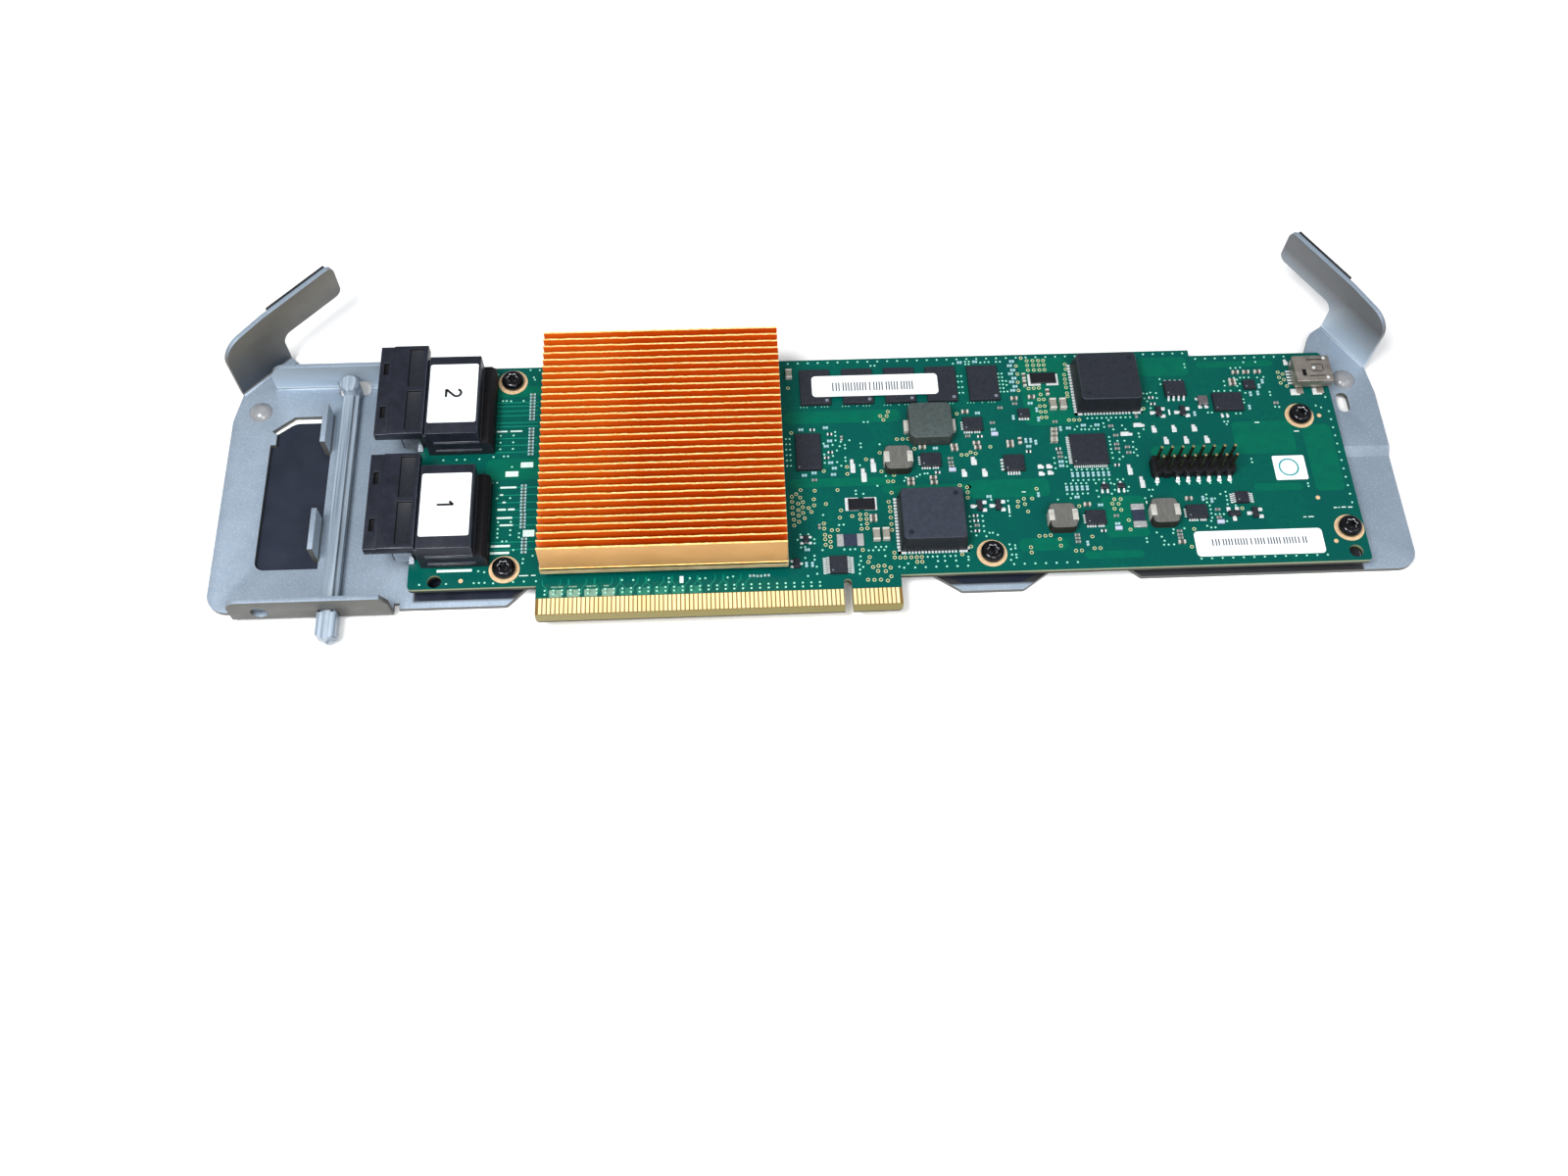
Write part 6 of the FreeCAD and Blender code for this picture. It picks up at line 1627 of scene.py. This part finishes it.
@dataclass
class TinyParts:
    """Tiny two-ended parts, by kind, lying along x or along y."""

    sight: float = 0.25
    edge: float = 0.05
    slim: float = 0.94
    along_x: dict[Tiny, tuple[Point, ...]] = field(default_factory=lambda: {
        Tiny.RESISTOR: (
            (-6.1, 41.1), (-1.9, 39.7), (-2, 34.4), (-3, 32.9), (23.75, 27.75), (31.7, 15.3), (31.7, 13.9),
            (31.7, 11.1), (61.9, 10.1), (67.8, 28.4), (79.2, 47.9), (79.4, 46), (46.6, 33), (35.1, 37.8),
            (54, 33.55)),
        Tiny.PALE: (
            (-9.05, 7.4), (-6.3, 28.6), (-8.7, 28), (-1.3, 29.8), (-1.6, 28), (-2.1, 31.4), (-8.9, 41.2),
            (-2.8, 41.6), (-2, 37.7), (-2.9, 36.2), (35.5, 20.5), (44.8, 58.8), (45.5, 60.1), (45.5, 57.4),
            (44.8, 56.3), (45.5, 54.9), (44.8, 53.8), (45.5, 52.4), (44.8, 51.2), (48.7, 47.2),
            (46.8, 34.5), (35.2, 44.7), (38.6, 39.7), (23.8, 34.7), (54.2, 29.8), (54.2, 28.6),
            (62.1, 17.2), (65.5, 11.9), (61.1, 40.2), (64.5, 40.2), (57.3, 39.5), (56.75, 19.6),
            (32.2, 60.2), (36.1, 60.3)),
        Tiny.VIOLET: ((27.4, 28.4), (38.8, 38.4), (65.6, 10.7), (90.4, 11.6)),
        Tiny.GREY: (
            (-6.3, 26.6), (31.8, 12.6), (27.3, 29.5), (38.6, 41.7), (32.1, 38), (41, 46.1), (44.8, 47.2),
            (27.2, 31.7), (27.2, 30.5), (54.2, 31.2), (54.2, 32.4), (65.5, 14.1), (67.9, 39.8),
            (54.2, 41.5), (90.2, 12.8), (90.2, 15), (55.4, 9.2), (55.4, 8.3), (55.4, 7.3), (80, 9.4),
            (80, 8.4), (80, 7.5), (110.4, 45.3), (68.55, 34.4), (68.55, 33.1), (71.1, 33.5), (71.2, 31.9),
            (68.75, 37)),
        Tiny.CERAMIC: (
            (22.5, 26.3), (22.6, 24.9), (17, 26), (17, 24.8), (7.2, 16), (7.2, 15), (20.6, 35.1),
            (28.4, 35.3), (28.5, 34.3), (34, 35.9), (34.2, 34.6), (32.1, 45.2), (42.3, 35.9), (42.3, 34.9),
            (44.8, 48.8), (49.2, 49.1), (58.9, 17.5), (83.7, 18.3), (80.1, 6.4), (101.8, 54.9),
            (104.5, 54.9), (107.4, 54.9), (100.5, 52.5), (100.5, 51.4)),
        Tiny.CHAIN: (
            *Row(-76.3, 20.4, 0, 0.88, 9).places, *Row(-76.2, 15.9, 0, 0.88, 5).places,
            *Row(-75.7, 9.1, 0, 0.9, 5).places, *Row(-75, 46.6, 0, 0.92, 9).places,
            *Row(-75, 36.4, 0, 0.92, 9).places, (-22.3, 0.9), (-20.6, 0.8), (-18.8, 0.9))})
    along_y: dict[Tiny, tuple[Point, ...]] = field(default_factory=lambda: {
        Tiny.PALE: (
            (-9.4, 3.4), (-8, 3.4), *Row(56.5, 25.95, 1.27, 0, 8).places,
            *Row(54.6, 22.1, 1.25, 0, 5).places, (57.6, 6.8), (46.3, 36.2), (47.5, 36.2), (48.7, 35.6),
            (50.2, 42.4), (50.1, 45.2), (44, 43.1), (87.2, 18.2), (89.25, 17.6), (103.5, 44.2),
            (108.2, 51.9), (107.1, 50.5), (104.5, 48.2), (106.4, 48.4), (47.5, 20.6), (89.4, 42.7),
            (55.3, 39.4)),
        Tiny.CERAMIC: ((44.8, 36.2), (48, 55.4), (48, 53.2), (53.4, 50.4)),
        Tiny.GREY: ((-5.8, 13.6), (0.95, 38.4), (74.7, 42.6))})

    def build(self) -> None:
        """Makes one piece of each kind; the places are those of the tops, which look further back."""
        for kind in Tiny:
            shape = Shape()
            long, wide, high, end, body, cap = kind.value
            middle = (wide * self.slim, high * self.slim)
            for upright, spots in enumerate((self.along_x, self.along_y)):
                for x, y in spots.get(kind, ()):
                    foot = (x, y - self.sight * high)
                    shape.ended(foot, (long, wide, high), end, middle, (body, cap), self.edge, bool(upright))
            shape.place(f"tiny_{kind.name.lower()}_parts", "resistor_black")


@dataclass(frozen=True)
class Block:
    """A larger two-ended part: centre, size and the length of its ends."""

    x: float
    y: float
    wide: float
    deep: float
    end: float


@dataclass
class LargeParts:
    """The flat resistors and the ceramic capacitors."""

    resistor_high: float = 0.6
    capacitor_high: float = 1.3
    edge: float = 0.09
    slim: float = 0.05
    resistors: tuple[Block, ...] = (
        Block(4.6, 19.3, 6.4, 3.2, 0.45), Block(52.8, 54.6, 6.4, 3.2, 0.45))
    slates: tuple[Block, ...] = (Block(1.3, 9.5, 6.4, 3.2, 1.6), Block(70.9, 13.8, 3.2, 6.4, 1.6))
    capacitors: tuple[Block, ...] = (
        Block(7.6, 10.6, 1.7, 3.2, 0.5), Block(9.9, 10.7, 1.7, 3.2, 0.5), Block(54.3, 46.4, 1.7, 3.0, 0.5),
        Block(56.8, 46.4, 1.7, 3.0, 0.5), Block(53.5, 38.7, 1.6, 0.9, 0.35),
        Block(53.4, 37.4, 1.6, 0.9, 0.35), Block(53.2, 35.8, 1.7, 1.4, 0.4),
        Block(-11.2, 57.6, 1.6, 2.6, 0.45))

    def build(self) -> None:
        """Makes both kinds."""
        shape = Shape()
        self.lay(shape, self.resistors, self.resistor_high, (Shop.RESISTOR, Shop.RESISTOR))
        self.lay(shape, self.slates, self.resistor_high, (Shop.SLATE, Shop.DULL_TIN))
        shape.place("flat_resistors", "resistor_black", "resistors")
        shape = Shape()
        self.lay(shape, self.capacitors, self.capacitor_high, (Shop.TAN, Shop.CREAM_TIN))
        shape.place("ceramic_capacitors", "capacitor_tan", "capacitors")

    def lay(self, shape: Shape, blocks: Sequence[Block], high: float, finishes: tuple[Shop, Shop]) -> None:
        """Adds parts of one kind to a shape.

        Args:
            shape: The shape they belong to.
            blocks: Their places and sizes.
            high: Their height.
            finishes: Finish of their middle and of their ends.
        """
        for block in blocks:
            wide, long = sorted((block.wide, block.deep))
            middle = (wide - 2 * self.slim, high - self.slim)
            upright = block.deep > block.wide
            size = (long, wide, high)
            shape.ended((block.x, block.y), size, block.end, middle, finishes, self.edge, upright)


@dataclass
class PowerModules:
    """The two drafted power modules with two round ejector marks on top."""

    draft: float = 0.57
    rim: float = 0.16
    foot_corner: float = 0.5
    corner: float = 0.9
    corner_steps: int = 5
    dimple: float = 0.65
    dimple_inset: float = 1.75
    dimple_sunk: float = 0.02
    dimple_high: float = 0.006
    dimple_steps: int = 24

    def build(self) -> None:
        """Makes both modules."""
        for name, finish in (("power_module_1", Shop.MODULE), ("power_module_2", Shop.CHIP)):
            low, high = span(name)
            levels = ((0.0, low.z, self.foot_corner), (self.draft, high.z - self.rim, self.corner),
                      (self.draft + self.rim, high.z, self.corner - self.rim))
            layers = []
            for inward, level, radius in levels:
                step = Vector((inward, inward))
                outline = rectangle(*(low.xy + step), *(high.xy - step), radius, self.corner_steps)
                layers.append((outline, level))
            shape = Shape(Shop.MODULE_SIDE)
            shape.stack(*layers[:2], cap_end=False)
            shape.take(Shop.MODULE).stack(*layers[1:], cap_start=False, cap_end=False)
            shape.take(finish).face(shape.loop((x, y, high.z) for x, y in layers[2][0]))
            shape.take(Shop.SPOT)
            reach = Vector((1, 1)) * (self.draft + self.dimple_inset)
            floor, face = high.z - self.dimple_sunk, high.z + self.dimple_high
            for spot in (low.xy + reach, high.xy - reach):
                shape.disc(spot, self.dimple, floor, face, self.dimple_steps)
            shape.place(f"{name}_body", "module_grey", name)


@dataclass
class Inductors:
    """The large inductor and the three small ones."""

    edge: float = 0.3
    edge_steps: int = 3
    corner: float = 1.15
    rim: float = 0.16
    draft: float = 0.1
    end_edge: float = 0.06

    def build(self) -> None:
        """Makes the inductors and their metal ends."""
        coil = Shape.copy_of("large_inductor", Shop.COIL, self.edge, self.edge_steps)
        coil.place("large_inductor_core", "inductor_grey", "large_inductor")
        for name in ("small_inductor_1", "small_inductor_2", "small_inductor_3"):
            low, high = span(name)
            shape = Shape(Shop.FERRITE)
            shape.slab(rectangle(*low.xy, *high.xy, self.corner, 2), low.z, high.z, self.rim, self.draft)
            shape.place(f"{name}_core", "inductor_grey", name)
        ends = Shape.copy_of("inductor_ends", Shop.END_TIN, self.end_edge)
        ends.place("inductor_feet", "terminal_tin", "inductor_ends")


@dataclass
class PinHeader:
    """The double-row pin header with its soldered tails."""

    centre: Point = (85.86, 26.75)
    columns: int = 8
    pitch: float = 2.54
    notch: float = 0.55
    edge: float = 0.08
    pin: float = 0.6
    tip: float = 0.35
    tip_edge: float = 0.22
    tails: tuple[int, ...] = (0, 2, 3, 4, 5, 6, 7)
    tail_front: float = 23.1
    tail_inside: float = 0.1
    tail_level: float = 0.5
    tail_wide: float = 0.75
    tail_thick: float = 0.2
    blob: tuple[Point, ...] = ((0.62, 0.0), (0.6, 0.06), (0.45, 0.22), (0.2, 0.3))
    blob_back: float = 0.25
    blob_steps: int = 14

    def build(self) -> None:
        """Makes the moulding, its pins and its tails."""
        body = Shape(Shop.HEADER)
        low, high = span("header_body")
        for column in range(self.columns):
            x0 = low.x + self.pitch * column
            cell = rectangle(x0, low.y, x0 + self.pitch, high.y, self.notch, 1)
            body.slab(cell, low.z, high.z, self.edge)
        body.place("header_moulding", "connector_black", "header_body")
        pins = Shape()
        top = span("header_pins")[1].z
        half = self.pin / 2
        for column in range(self.columns):
            x = self.column_x(column)
            for row in (-0.5, 0.5):
                y = self.centre[1] + row * self.pitch
                outline = rectangle(x - half, y - half, x + half, y + half)
                pins.take(Shop.PIN).slab(outline, 0.0, top - self.tip)
                pins.take(Shop.PIN_TIP).slab(outline, top - self.tip, top, self.tip_edge)
        pins.place("header_posts", "contact_gold", "header_pins")
        tails = Shape(Shop.TIN)
        for column in self.tails:
            x = self.column_x(column)
            root = (x, low.y + self.tail_inside, self.tail_level)
            tails.lead(root, (x, self.tail_front), self.tail_wide, self.tail_thick)
            tails.turned((x, self.tail_front + self.blob_back), self.blob, self.blob_steps)
        tails.place("header_tails", "terminal_tin")

    def column_x(self, column: int) -> float:
        """Middle of a column of pins along x."""
        return self.centre[0] + (column - (self.columns - 1) / 2) * self.pitch


@dataclass
class ServiceSocket:
    """The small socket at the right edge."""

    edge: float = 0.35
    edge_steps: int = 3
    edge_angle: float = 60.0
    slots: tuple[Area, ...] = (
        (119, 55.3, 123, 55.6), (119, 50.4, 123, 50.7), (119.9, 53.9, 122.6, 54.1),
        (119.9, 51.9, 122.6, 52.1), (117.3, 50.6, 118.3, 52.6), (122.6, 52.1, 122.8, 53.9))
    slot_sunk: float = 0.05
    slot_high: float = 0.006
    slot_round: float = 0.08
    dimples: tuple[Point, ...] = ((120.4, 53), (123.4, 55.9), (123.5, 50))
    dimple: tuple[Point, ...] = ((0.45, -0.02), (0.4, 0.05), (0.15, 0.1))
    dimple_steps: int = 16
    tongue_edge: float = 0.05

    def build(self) -> None:
        """Makes the shell with its stamped springs, and the tongue."""
        shell = Shape.copy_of("socket_shell", Shop.SHELL, self.edge, self.edge_steps, self.edge_angle)
        top = span("socket_shell")[1].z
        # Dark slabs on the slot openings: painted shade in place of the openings.
        shell.take(Shop.SLOT)
        for area in self.slots:
            shell.slab(rectangle(*area, self.slot_round, 2), top - self.slot_sunk, top + self.slot_high)
        shell.take(Shop.TIN)
        for spot in self.dimples:
            shell.turned(spot, ((radius, top + up) for radius, up in self.dimple), self.dimple_steps)
        shell.place("socket_case", "clip_steel", "socket_shell")
        tongue = Shape.copy_of("socket_tongue", Shop.BLACK, self.tongue_edge)
        tongue.place("socket_blade", "connector_black", "socket_tongue")


@dataclass(frozen=True)
class Label:
    """A paper label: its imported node, how far it stays inside each side of that node, and its run of bars."""

    node: str
    trims: Area = (0.0, 0.0, 0.0, 0.0)
    bars: Area | None = None


@dataclass
class Labels:
    """Paper labels on the memory row and the board, with plain bars and a plain ring."""

    labels: tuple[Label, ...] = (
        Label("memory_label", bars=(-0.5, 51.7, 19.7, 54.3)),
        Label("board_label", (0.3, 0.0, 0.0, 0.6), (87.3, 5.0, 110.3, 6.85)),
        Label("square_label", (0.2, 0.2, 0.2, 0.2)))
    corner: float = 1.0
    square_corner: float = 0.4
    corner_steps: int = 6
    edge: float = 0.03
    ring: Point = (109.9, 26.3)
    ring_radius: float = 2.5
    ring_wide: float = 0.42
    ring_steps: int = 48
    bar: float = 0.34
    bar_gaps: tuple[float, ...] = (0.34, 0.34, 0.5, 0.72)
    bar_seed: int = 7
    ink: float = 0.012

    def build(self) -> None:
        """Makes the labels."""
        for label in self.labels:
            low, high = span(label.node)
            start, end = low.xy + Vector(label.trims[:2]), high.xy - Vector(label.trims[2:])
            radius = self.corner if label.bars else self.square_corner
            outline = rectangle(*start, *end, radius, self.corner_steps)
            shape = Shape(Shop.PAPER)
            shape.slab(outline, low.z, high.z, self.edge)
            if label.bars:
                self.stripes(shape, label.bars, high.z)
            else:
                inner, top = self.ring_radius - self.ring_wide, high.z + self.ink
                shape.take(Shop.TEAL_INK)
                shape.ring(self.ring, inner, self.ring_radius, high.z, top, self.ring_steps)
            shape.place(f"{label.node}_paper", "label_white", label.node)

    def stripes(self, shape: Shape, area: Area, level: float) -> None:
        """Adds a run of upright bars at chance distances.

        Args:
            shape: The label.
            area: Left, lower, right and upper edge of the run.
            level: Face of the label.
        """
        chance = random.Random(self.bar_seed)
        shape.take(Shop.BAR_INK)
        x, low, end, high = area
        while x < end:
            shape.slab(rectangle(x, low, x + self.bar, high), level, level + self.ink)
            x += self.bar + chance.choice(self.bar_gaps)


@dataclass(frozen=True)
class Lamp:
    """A square soft lamp: where it hangs, its size and its power."""

    spot: Place
    size: float
    power: float


@dataclass
class Studio:
    """Camera, light and floor; places are in metres, the aim is in degrees."""

    eye: Place = (-0.026650, -0.163918, 0.308658)
    aim: Place = (27.646863, -0.860145, -2.504211)
    lens: float = 34.3532
    sensor: float = 36.0
    nearest: float = 0.01
    target: Place = (0.0, 0.03, 0.0)
    sky: float = 0.4
    sky_colour: Area = (0.94, 0.97, 1.0, 1.0)
    floor_size: float = 3.0
    lamps: tuple[Lamp, ...] = (
        Lamp((-0.27, -0.2, 0.62), 0.25, 6.2), Lamp((0.1, -0.42, 0.55), 0.3, 2.7),
        Lamp((0.5, -0.12, 0.5), 0.4, 1.0))

    def build(self) -> None:
        """Sets up the whole studio."""
        scene = bpy.context.scene
        scene.view_settings.view_transform = "Standard"
        data = bpy.data.cameras.new("photo_camera")
        data.sensor_fit, data.sensor_width, data.lens = "HORIZONTAL", self.sensor, self.lens
        data.clip_start = self.nearest
        camera = bpy.data.objects.new("photo_camera", data)
        camera.location = self.eye
        camera.rotation_euler = Euler([math.radians(a) for a in self.aim], "XYZ")
        scene.collection.objects.link(camera)
        scene.camera = camera
        self.light()
        self.floor()

    def light(self) -> None:
        """Adds soft lamps and an even sky."""
        for i, lamp in enumerate(self.lamps):
            data = bpy.data.lights.new(f"softbox_{i}", "AREA")
            data.shape, data.size, data.energy = "SQUARE", lamp.size, lamp.power
            holder = bpy.data.objects.new(f"softbox_{i}", data)
            holder.location = lamp.spot
            ray = Vector(self.target) - Vector(lamp.spot)
            holder.rotation_euler = ray.to_track_quat("-Z", "Y").to_euler()
            bpy.context.scene.collection.objects.link(holder)
        world = bpy.data.worlds.new("even_sky")
        world.use_nodes = True
        sky = world.node_tree.nodes["Background"]
        sky.inputs["Color"].default_value = self.sky_colour
        sky.inputs["Strength"].default_value = self.sky
        bpy.context.scene.world = world

    def floor(self) -> None:
        """Adds the pale floor that the card stands on."""
        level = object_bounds()[0][2]
        mesh = bmesh.new()
        bmesh.ops.create_grid(mesh, x_segments=1, y_segments=1, size=self.floor_size)
        data = bpy.data.meshes.new("pale_floor")
        mesh.to_mesh(data)
        mesh.free()
        data.materials.append(Shop.FLOOR.material)
        floor = bpy.data.objects.new("pale_floor", data)
        floor.location.z = level
        bpy.context.scene.collection.objects.link(floor)
        floor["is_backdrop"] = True


def main() -> None:
    """Builds the card piece by piece, then the studio."""
    logging.basicConfig(level=logging.INFO, format="%(name)s %(message)s")
    parts = (Carrier(), Board(), Vias(), BoardPrint(), SolderPads(), Screws(), HeatSink(), DataPort(1),
             DataPort(2), Chips(), Transistors(), TinyParts(), LargeParts(), PowerModules(), Inductors(),
             PinHeader(), ServiceSocket(), Labels(), Studio())
    for part in parts:
        part.build()


if __name__ == "__main__":
    main()
